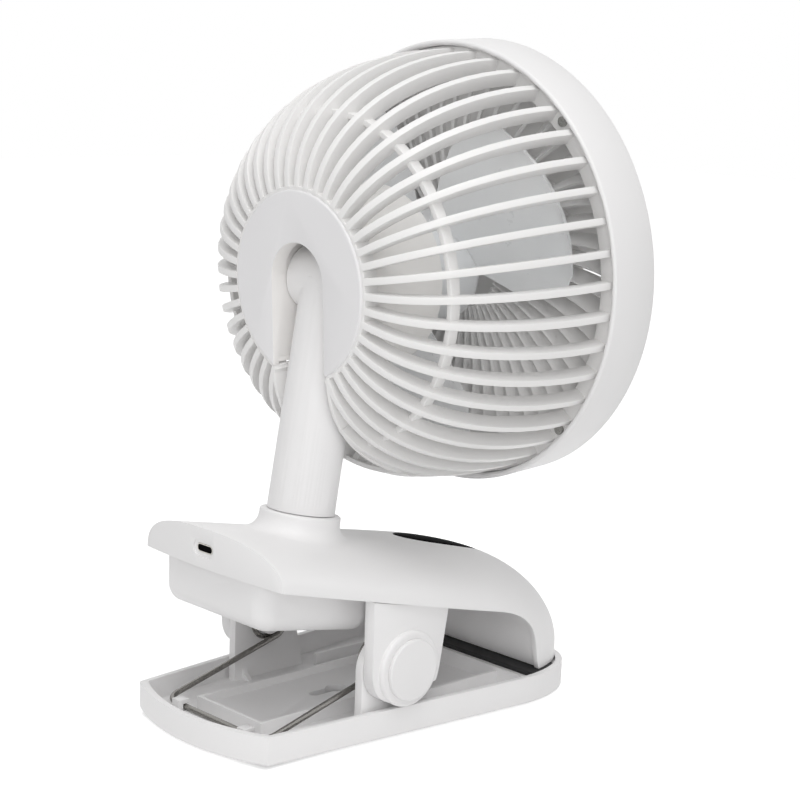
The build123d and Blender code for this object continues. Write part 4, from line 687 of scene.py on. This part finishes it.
@dataclass
class RearGrille:
    """The basket: a hub ring, curved ribs, a middle ring, the pole's channel and a front ring.

    Depths count from the rear disc along the shaft, and radii from the shaft. The lowest rib and
    cut_ribs on each side of it start further out, where the channel leaves them room.
    """

    ribs: int = 44
    rib_thickness: float = 2.7
    rib_depth: float = 6.5
    rib_rounding: float = 0.42
    rib_root: float = 0.012
    rib_rear: float = 0.4
    rib_taper: float = 0.8
    rib_past_rim: float = 2.0
    rib_steps: int = 16
    cut_ribs: int = 2
    root_radius: float = 34.8
    basket_radius: float = 83.0
    basket_depth: float = 80.0
    roundness: float = 2.15
    hub_inner: float = 34.8
    hub_outer: float = 36.3
    hub_rear: float = 0.75
    channel_half: float = 14.4
    channel_wall: float = 1.8
    channel_end: float = 76.0
    channel_root: float = 0.6
    channel_steps: int = 10
    wall_rounding: float = 0.5
    wall_depth: float = 11.0
    wall_root_extra: float = 18.0
    wall_shrink: float = 0.97
    wall_lift: float = 1.0
    beside_start: float = 55.0
    ring_radius: float = 62.9
    ring_rear: float = 17.0
    ring_depth: float = 4.6
    ring_thickness: float = 2.2
    rim_radius: float = 83.8
    rim_depth: float = 3.0
    end_thickness: float = 2.0
    end_length: float = 8.0

    def shape(self, share: float, inner: bool) -> tuple[float, float]:
        """A point on a rib's outer or inner edge.

        Args:
            share: How far along, from 0 at the hub to 1 at the band.
            inner: Whether the inner edge is meant.

        Returns:
            Its radius and its depth.
        """
        turn = share * pi / 2
        power = 2 / self.roundness
        grown = sin(turn) ** power
        sunk = 1 - cos(turn) ** power if share < 1 else 1.0
        end = self.basket_radius - (self.rib_depth - self.rib_taper if inner else 0.0)
        first = self.rib_rear + (self.rib_depth if inner else 0.0)
        return (self.root_radius + (end - self.root_radius) * grown,
                first + (self.basket_depth - first) * sunk)

    def share_at(self, radius: float) -> float:
        """Where along the outer edge a radius is reached."""
        grown = (radius - self.root_radius) / (self.basket_radius - self.root_radius)
        return asin(grown ** (self.roundness / 2)) * 2 / pi

    def rib_section(self, share: float, lift: float = 0.0) -> list[Vector]:
        """The rounded section of a rib, across the frame's X and Z plane.

        Args:
            share: How far along the rib.
            lift: Extra depth, for the end past the basket's rim.

        Returns:
            Its corners in order.
        """
        outer = Vector(self.shape(share, False)) + Vector((0, lift))
        inner = Vector(self.shape(share, True)) + Vector((0, lift))
        inward = inner - outer
        depth = inward.length
        inward = inward.normalized()
        half = self.rib_thickness / 2
        flat = eased([(0, -half), (depth, -half), (depth, half), (0, half)], self.rib_rounding, 2)
        return [Vector((outer.x + inward.x * deep, across, outer.y + inward.y * deep))
                for deep, across in flat]

    def rib(self, first: float) -> bpy.types.Object:
        """One rib from a share of its length to the band.

        Args:
            first: Where it starts.

        Returns:
            The rib, along the frame's X.
        """
        shares = [first + (1 - first) * (step / self.rib_steps) for step in range(self.rib_steps + 1)]
        sections = [self.rib_section(share) for share in shares]
        sections.append(self.rib_section(1.0, self.rib_past_rim))
        return drawn(sections)

    def build(self) -> None:
        """Build and dress the rear grille."""
        cut = self.cut_ribs
        lengths = ((self.rib_root, range(cut + 1, self.ribs - cut)),
                   (self.share_at(self.beside_start), (-cut, cut)),
                   (self.share_at(self.channel_end), range(1 - cut, cut)))
        ribs = together([
            repeated(self.rib(first), [Matrix.Rotation(tau * step / self.ribs - pi / 2, 4, "Z")
                                       for step in steps]) for first, steps in lengths])
        settle(ribs, "rear_ribs", "head", GRILLE_PP, HEAD, ("rear_grille",))
        for name, make in (("rear_middle_ring", self.middle_ring), ("rear_hub_ring", self.hub_ring),
                           ("rear_front_ring", self.front_ring), ("rear_channel_walls", self.channel),
                           ("rear_channel_end", self.channel_end_strip)):
            settle(make(), name, "head", GRILLE_PP, HEAD)

    def open_ring(self, profile: Sequence[tuple[float, float]], radius: float,
                  steps: int) -> bpy.types.Object:
        """Spin a ring that is open where the pole's channel passes.

        Args:
            profile: The ring's section.
            radius: Where the ring meets the channel's walls.
            steps: Steps of the spin.

        Returns:
            The ring.
        """
        gap = asin((self.channel_half + self.channel_wall / 2) / radius)
        return spun(profile, steps, -pi / 2 + gap, tau - 2 * gap)

    def middle_ring(self) -> bpy.types.Object:
        """The hoop that ties the ribs together, sunk so that they pass over it."""
        inner = self.ring_radius - self.ring_thickness
        front = self.ring_rear + self.ring_depth
        profile = eased([(inner, self.ring_rear), (self.ring_radius, self.ring_rear),
                         (self.ring_radius, front), (inner, front)], 0.35)
        return self.open_ring(profile, self.ring_radius, 132)

    def hub_ring(self) -> bpy.types.Object:
        """The ring round the rear disc from which the ribs start."""
        front = self.hub_rear + self.rib_depth
        profile = eased([(self.hub_inner, self.hub_rear), (self.hub_outer, self.hub_rear),
                         (self.hub_outer, front), (self.hub_inner, front)], 0.3)
        return self.open_ring(profile, self.hub_outer, 96)

    def front_ring(self) -> bpy.types.Object:
        """The ring at the band, on which the ribs end."""
        inner = self.basket_radius - self.rib_depth
        rear, front = self.basket_depth, self.basket_depth + self.rim_depth
        profile = eased([(inner, rear), (self.rim_radius, rear), (self.rim_radius, front),
                         (inner, front)], 0.5)
        return spun(profile, 144)

    def channel_end_strip(self) -> bpy.types.Object:
        """The smooth strip that closes the channel's lower end between its walls."""
        outer, depth = self.shape(self.share_at(self.channel_end), False)
        across = asin((self.channel_half + self.channel_wall) / outer)
        rear, front = depth - 0.2, depth + self.end_length
        profile = eased([(outer - self.end_thickness, rear), (outer, rear),
                         (outer + 3.0, front), (outer + 3.0 - self.end_thickness, front)], 0.4)
        return spun(profile, 16, -pi / 2 - across, 2 * across)

    def channel(self) -> bpy.types.Object:
        """The two walls of the channel that the pole swings in."""
        first = self.channel_half
        middle = first + self.channel_wall / 2
        root = self.share_at(self.hub_inner + self.channel_root)
        end = self.share_at(self.channel_end)
        along = [step / self.channel_steps for step in range(self.channel_steps + 1)]
        edge = [self.shape(root + (end - root) * share, False) for share in along]
        outer = [(-sqrt(radius ** 2 - middle ** 2), depth) for radius, depth in edge]
        depths = [self.wall_depth + self.wall_root_extra * (1 - share) ** 3 for share in along]
        inner = [(height * self.wall_shrink + self.wall_lift, spot + depth)
                 for (height, spot), depth in zip(reversed(outer), reversed(depths))]
        outline = [Vector((first, height, depth)) for height, depth in outer + inner]
        far = [spot + Vector((self.channel_wall, 0, 0)) for spot in outline]
        wall = drawn([outline, far])
        soften(wall, self.wall_rounding)
        return repeated(wall, [Matrix.Identity(4), Matrix.Scale(-1, 4, Vector((1, 0, 0)))])


@dataclass
class Guard:
    """The wide outer band and the front grille of swept vanes with its plain badge.

    Attributes:
        vane_path: A vane's section at full size, as (depth from the face, place across).
        vane_end: Radius at which the vanes end, inside the rim.
        vane_lean: How the sweep grows, as the shares of it that grow evenly and by the square.
        face: Depth of the front grille's face.
    """

    band_radius: float = 86.2
    band_wall: float = 2.2
    band_rear: float = 77.2
    band_front: float = 99.6
    vanes: int = 52
    vane_thickness: float = 1.5
    vane_path: tuple[tuple[float, float], ...] = (
        (0.0, 0.0), (-4.0, 6.6), (-7.4, 12.2), (-9.2, 11.2), (-13.4, 6.8))
    vane_sweep: float = 12.0
    vane_end: float = 81.0
    vane_lean: tuple[float, float] = (0.62, 0.38)
    vane_steps: int = 8
    hub_radius: float = 19.0
    hub_wall: float = 1.6
    hub_floor: float = 2.0
    hub_depth: float = 9.0
    ring_radius: float = 51.0
    ring_half: float = 0.9
    ring_depth: float = 6.0
    rim_width: float = 4.0
    rim_wall: float = 2.0
    rim_depth: float = 7.0
    rim_rear: float = 83.1
    rim_gap: float = 0.15
    face: float = 99.0

    def build(self) -> None:
        """Build and dress the band and the front grille."""
        settle(self.band(), "guard_band", "head", SHELL_ABS, HEAD, ("outer_band",))
        turns = [Matrix.Rotation(tau * step / self.vanes, 4, "Z") for step in range(self.vanes)]
        vanes = repeated(self.vane(), turns)
        # The vanes' finish is a little whiter than the grilles': painted light.
        settle(vanes, "front_vanes", "head", VANE_PP_PAINTED_LIGHT, HEAD, ("front_grille",))
        for name, make in (("front_rim", self.rim), ("front_hub", self.hub), ("front_ring", self.ring)):
            settle(make(), name, "head", GRILLE_PP, HEAD)
        # The badge shares the disc's finish, painted a little greyer than the shells.
        softened("front_badge", "head", CAP_ABS_PAINTED_SHADE, 0.3)

    def band(self) -> bpy.types.Object:
        """The band, with a full round lip at its rear."""
        inner = self.band_radius - self.band_wall
        middle = self.band_radius - self.band_wall / 2
        lip = self.band_wall / 2
        rear = [(middle + lip * cos(angle), self.band_rear + lip + lip * sin(angle))
                for angle in [-pi * step / 8 for step in range(9)]]
        front = [(inner, self.band_front - 0.5), (inner + 0.3, self.band_front - 0.1),
                 (inner + 0.8, self.band_front), (self.band_radius - 1.0, self.band_front),
                 (self.band_radius - 0.35, self.band_front - 0.3),
                 (self.band_radius, self.band_front - 1.0)]
        return spun(rear + front, 180)

    def vane_place(self, share: float) -> tuple[float, float]:
        """Radius and angle of a vane's middle line at a share of its length."""
        root = self.hub_radius - 1.0
        even, growing = self.vane_lean
        angle = radians(self.vane_sweep) * (even * share + growing * share * share)
        return root + (self.vane_end - root) * share, angle

    def vane(self) -> bpy.types.Object:
        """One swept vane, whose section is hooked so that no light passes straight through."""
        spine = [Vector((side, drop)) for drop, side in self.vane_path]
        edge = []
        for at, spot in enumerate(spine):
            way = (spine[min(at + 1, len(spine) - 1)] - spine[max(at - 1, 0)]).normalized()
            edge.append((spot, Vector((-way.y, way.x)) * self.vane_thickness / 2))
        flat = [spot + half for spot, half in edge] + [spot - half for spot, half in reversed(edge)]
        sections = []
        for step in range(self.vane_steps + 1):
            radius, angle = self.vane_place(step / self.vane_steps)
            after = self.vane_place(step / self.vane_steps + 0.01)
            here = Vector((radius * cos(angle), radius * sin(angle), 0))
            ahead = Vector((after[0] * cos(after[1]), after[0] * sin(after[1]), 0)) - here
            across = ahead.normalized().cross(Vector((0, 0, 1)))
            share = radius / self.band_radius
            sections.append([here + across * side * share + Vector((0, 0, self.face + drop))
                             for side, drop in flat])
        return drawn(sections)

    def rim(self) -> bpy.types.Object:
        """The rim that holds the vanes in the band."""
        outer = self.band_radius - self.band_wall - self.rim_gap
        inner = outer - self.rim_width
        wall = outer - self.rim_wall
        rear = self.face - self.rim_depth
        profile = eased([(inner, rear), (wall, rear - 0.4), (wall, self.rim_rear),
                         (outer, self.rim_rear), (outer, self.face), (inner, self.face)], 0.5)
        return spun(profile, 144)

    def ring(self) -> bpy.types.Object:
        """The ring half way out that ties the vanes."""
        inner, outer = self.ring_radius - self.ring_half, self.ring_radius + self.ring_half
        rear = self.face - self.ring_depth
        profile = eased([(inner, rear), (outer, rear), (outer, self.face), (inner, self.face)], 0.5)
        return spun(profile, 120)

    def hub(self) -> bpy.types.Object:
        """The cup in the middle of the front grille."""
        inner = self.hub_radius - self.hub_wall
        floor = self.face - self.hub_floor
        rear = self.face - self.hub_depth
        profile = eased([(POLE_RADIUS, floor), (inner, floor), (inner, rear), (self.hub_radius, rear),
                         (self.hub_radius, self.face), (POLE_RADIUS, self.face)], 0.6)
        return spun(profile, 72)


@dataclass
class MotorPod:
    """The rear disc with its slot, the drum and what they hold.

    The slot's walls, deeper behind the disc's face than a set depth and within a set reach of the
    shaft, are painted whiter than the disc: painted light for the light that bounces into the slot.
    """

    disc_rounding: float = 0.7
    painted_light_from: float = 1.2
    painted_light_reach: float = 34.6
    drum_rounding: float = 0.5

    def build(self) -> None:
        """Build and dress the motor pod."""
        # The disc's finish is a little greyer than the shells': painted shade.
        self.paint_slot_light(softened("rear_cap", "head", CAP_ABS_PAINTED_SHADE, self.disc_rounding))
        softened("motor_housing", "head", DRUM_ABS, self.drum_rounding)
        dress({"tilt_axle": PIN_STEEL, "tilt_nuts": SCREW_ZINC, "tilt_washers": SCREW_ZINC,
               "rear_bearing": SCREW_ZINC, "front_bearing": SCREW_ZINC, "motor_board": BOARD_MASK,
               "motor_stator": CORE_IRON, "motor_windings": COIL_COPPER, "grille_screws": SCREW_ZINC})

    def paint_slot_light(self, disc: bpy.types.Object) -> None:
        """Paint the slot's walls behind the disc whiter, as painted light for light bouncing into the
        slot.

        Args:
            disc: The disc with its slot.
        """
        # Painted light: the slot's walls get a whiter finish than the disc.
        disc.data.materials.append(SLOT_PAINTED_LIGHT.material())
        back = HEAD.inverted()
        for side in disc.data.polygons:
            middle = back @ side.center
            if middle.z > self.painted_light_from and middle.xy.length < self.painted_light_reach:
                side.material_index = 1


@dataclass
class Rotor:
    """The blades on their hub, and the rotor's steel parts.

    Attributes:
        rest_angle: Angle of the first blade at rest, in degrees.
        middle: Depth of the blades' middle along the shaft.
        camber: How far a blade's middle bulges forward.
        shares: Where a section has its corners, from one edge at -1 to the other at 1.
        plan: A blade's sections, as (radius, angle spanned in degrees, reach along the shaft).
    """

    blades: int = 3
    rest_angle: float = 152.0
    hub_radius: float = 22.0
    hub_rear: float = 44.0
    hub_front: float = 75.0
    hub_wall: float = 1.8
    hub_rounding: float = 4.0
    middle: float = 64.0
    thickness: float = 1.7
    edge_share: float = 0.25
    camber: float = 3.0
    shares: tuple[float, ...] = (-1.0, -0.92, -0.7, -0.35, 0.0, 0.35, 0.7, 0.92, 1.0)
    plan: tuple[tuple[float, float, float], ...] = (
        (20.6, 58.0, 16.4), (27.0, 64.0, 16.2), (34.0, 69.0, 15.8), (43.0, 73.0, 15.2),
        (52.0, 73.0, 14.6), (59.0, 69.0, 14.0), (65.0, 63.5, 13.3), (69.5, 57.0, 12.5),
        (72.2, 50.0, 11.5), (73.0, 43.0, 10.2))

    def section(self, radius: float, span: float, depth: float) -> list[Vector]:
        """One section of a blade, wrapped round the shaft and bulged.

        Args:
            radius: Its radius.
            span: The angle that it spans, in degrees.
            depth: How far it reaches along the shaft.

        Returns:
            Its corners in order.
        """
        half = radians(span) / 2
        upper, lower = [], []
        for share in self.shares:
            angle = half * share
            height = self.middle + depth / 2 * share + self.camber * (1 - share * share)
            thick = self.thickness / 2 * max(1 - share ** 4, self.edge_share)
            place = Vector((radius * cos(angle), radius * sin(angle), height))
            upper.append(place + Vector((0, 0, thick)))
            lower.append(place - Vector((0, 0, thick)))
        return upper + list(reversed(lower))

    def blade(self) -> bpy.types.Object:
        """One blade from inside the hub's wall to its rounded tip."""
        return drawn([self.section(*place) for place in self.plan])

    def hub(self) -> bpy.types.Object:
        """The hub's cup with its rounded front."""
        inner = self.hub_radius - self.hub_wall
        floor = self.hub_front - self.hub_wall
        profile = eased([(POLE_RADIUS, floor), (inner, floor), (inner, self.hub_rear),
                         (self.hub_radius, self.hub_rear)], 0.5)
        bend = self.hub_rounding
        front = [(self.hub_radius - bend + bend * cos(angle), self.hub_front - bend + bend * sin(angle))
                 for angle in [pi / 2 * step / 6 for step in range(7)]]
        return spun(profile + front + [(POLE_RADIUS, self.hub_front)], 72)

    def build(self) -> None:
        """Build and dress the rotor."""
        turns = [Matrix.Rotation(radians(self.rest_angle) + tau * step / self.blades, 4, "Z")
                 for step in range(self.blades)]
        fan = together([repeated(self.blade(), turns), self.hub()])
        settle(fan, "fan_wheel", "rotor", BLADE_SAN, HEAD, ("fan_blades",))
        dress({"rotor_cup": CORE_IRON, "rotor_magnet": MAGNET_FERRITE, "motor_shaft": PIN_STEEL})


# ---------------------------------------- studio
@dataclass
class Studio:
    """A white studio: the floor, the lamps, the world and the camera at the photograph's place.

    Attributes:
        air: Strength of the white air as light.
        floor_lift: Strength of the floor's white where it is seen.
        shade_half: Half width and half depth of the floor's patch of painted shade under the tray.
        shade_edge: Where the patch ends and where the white begins, as shares of its half sizes.
        shade_tones: Grey of the painted shade patch and of the paper.
        aim: What the lamps point at.
        lamps: Name, place along the camera's right, back and up, power in watts and side in metres.
    """

    camera_place: tuple[float, float, float] = (-0.5163, 0.4716, 0.2492)
    camera_right: tuple[float, float, float] = (-0.68486866, -0.72797487, 0.03174137)
    camera_up: tuple[float, float, float] = (0.1543061, -0.1023206, 0.9827106)
    camera_back: tuple[float, float, float] = (-0.71214082, 0.67792557, 0.18240713)
    lens_mm: float = 83.85
    sensor_mm: float = 36.0
    air: float = 0.42
    floor_lift: float = 0.68
    shade_half: tuple[float, float] = (0.032, 0.066)
    shade_edge: tuple[float, float] = (0.9, 1.2)
    shade_tones: tuple[float, float] = (0.04, 0.9)
    aim: tuple[float, float, float] = (0.0, 0.0, 0.13)
    lamps: list[tuple[str, tuple[float, float, float], float, float]] = field(default_factory=lambda: [
        ("key", (0.2, 0.7, 1.15), 5.7, 0.8),
        ("top", (-0.1, 0.1, 1.3), 3.2, 1.0),
        ("front", (0.0, 1.3, 0.45), 3.5, 0.6),
        ("side", (-1.1, 0.5, 0.4), 0.5, 0.9),
    ])

    def build(self) -> None:
        """Build the studio."""
        self.floor()
        self.world()
        for name, place, power, size in self.lamps:
            self.lamp(name, Vector(place), power, size)
        self.camera()
        bpy.context.scene.view_settings.view_transform = "Standard"

    def seen_directly(self, tree: bpy.types.NodeTree) -> bpy.types.NodeSocket:
        """A value of 1 where the camera, a gloss or clear material looks straight at the surface."""
        rays = add_node(tree, "ShaderNodeLightPath").outputs
        seen = rays["Is Camera Ray"]
        for other in ("Is Glossy Ray", "Is Transmission Ray"):
            seen = add_node(tree, "ShaderNodeMath", {"operation": "MAXIMUM"},
                            {0: seen, 1: rays[other]}).outputs[0]
        return seen

    def floor(self) -> None:
        """The plain pale floor, which keeps the object's shadow, with painted shade in a dark patch close
        under the tray.
        """
        fresh()
        bpy.ops.mesh.primitive_grid_add(x_subdivisions=4, y_subdivisions=4, size=6.0)
        ground = bpy.context.object
        ground.name = "studio_floor"
        material, tree = blank_material("studio_floor_paper")
        seen = self.seen_directly(tree)
        place = add_node(tree, "ShaderNodeTexCoord").outputs["Object"]
        apart = add_node(tree, "ShaderNodeSeparateXYZ", links={"Vector": place})
        shares = []
        for axis, half in zip("XY", self.shade_half):
            span = add_node(tree, "ShaderNodeMath", {"operation": "ABSOLUTE"}, {0: apart.outputs[axis]})
            share = add_node(tree, "ShaderNodeMath", {"operation": "DIVIDE", 1: half},
                             {0: span.outputs[0]})
            shares.append(share.outputs[0])
        reach = add_node(tree, "ShaderNodeMath", {"operation": "MAXIMUM"},
                         dict(enumerate(shares))).outputs[0]
        # Painted shade: in the patch under the tray the white lift falls away and the paper turns dark
        # grey.
        near, far = self.shade_edge
        clear = add_node(tree, "ShaderNodeMapRange",
                         {"From Min": near, "From Max": far, "To Min": 0.0, "To Max": self.floor_lift},
                         {"Value": reach})
        lift = add_node(tree, "ShaderNodeMath", {"operation": "MULTIPLY"},
                        {0: seen, 1: clear.outputs["Result"]})
        dark, pale = self.shade_tones
        shade = add_node(tree, "ShaderNodeMapRange",
                         {"From Min": near, "From Max": far, "To Min": dark, "To Max": pale},
                         {"Value": reach})
        paper = add_node(tree, "ShaderNodeBsdfDiffuse", links={"Color": shade.outputs["Result"]})
        white = add_node(tree, "ShaderNodeEmission", {"Color": (1.0, 1.0, 1.0, 1.0)},
                         {"Strength": lift.outputs[0]})
        both = add_node(tree, "ShaderNodeAddShader", links={0: paper.outputs[0], 1: white.outputs[0]})
        add_node(tree, "ShaderNodeOutputMaterial", links={"Surface": both.outputs[0]})
        ground.data.materials.append(material)

    def world(self) -> None:
        """White air round the object: full white where it is seen, softer as light."""
        world = bpy.data.worlds.new("studio_air")
        bpy.context.scene.world = world
        world.use_nodes = True
        tree = world.node_tree
        tree.nodes.clear()
        seen = self.seen_directly(tree)
        strength = add_node(tree, "ShaderNodeMapRange",
                            {"To Min": self.air, "To Max": 1.0}, {"Value": seen})
        air = add_node(tree, "ShaderNodeBackground", {"Color": (1.0, 1.0, 1.0, 1.0)},
                       {"Strength": strength.outputs["Result"]})
        add_node(tree, "ShaderNodeOutputWorld", links={"Surface": air.outputs[0]})

    def lamp(self, name: str, offset: Vector, power: float, size: float) -> None:
        """Hang one soft lamp, placed by the camera's right, back and up.

        Args:
            name: Its name.
            offset: Its place along the camera's right, the camera's back and up, in metres.
            power: Its power in watts.
            size: Its side in metres.
        """
        target = Vector(self.aim)
        level_right = Vector((self.camera_right[0], self.camera_right[1], 0)).normalized()
        level_back = Vector((self.camera_back[0], self.camera_back[1], 0)).normalized()
        light = bpy.data.lights.new(name, "AREA")
        light.energy = power
        light.size = size
        lamp = bpy.data.objects.new(name, light)
        bpy.context.scene.collection.objects.link(lamp)
        lamp.location = (target + level_right * offset.x + level_back * offset.y
                         + Vector((0, 0, offset.z)))
        lamp.rotation_euler = (target - lamp.location).to_track_quat("-Z", "Y").to_euler()

    def camera(self) -> None:
        """Set the camera where the photograph was taken from."""
        lens = bpy.data.cameras.new("photograph_camera")
        lens.lens = self.lens_mm
        lens.sensor_width = self.sensor_mm
        lens.sensor_fit = "HORIZONTAL"
        lens.clip_start = 0.05
        eye = bpy.data.objects.new("photograph_camera", lens)
        bpy.context.scene.collection.objects.link(eye)
        turn = Matrix((self.camera_right, self.camera_up, self.camera_back)).transposed().to_4x4()
        eye.matrix_world = Matrix.Translation(Vector(self.camera_place)) @ turn
        bpy.context.scene.camera = eye


def main() -> None:
    """Build the clip fan and its studio, logging the triangles of each modelled piece."""
    logging.basicConfig(level=logging.INFO, format="%(name)s %(message)s")
    for assembly in (LowerJaw(), UpperJaw(), Neck(), MotorPod(), RearGrille(), Guard(), Rotor(), Studio()):
        LOG.info("building %s", type(assembly).__name__)
        assembly.build()


if __name__ == "__main__":
    main()
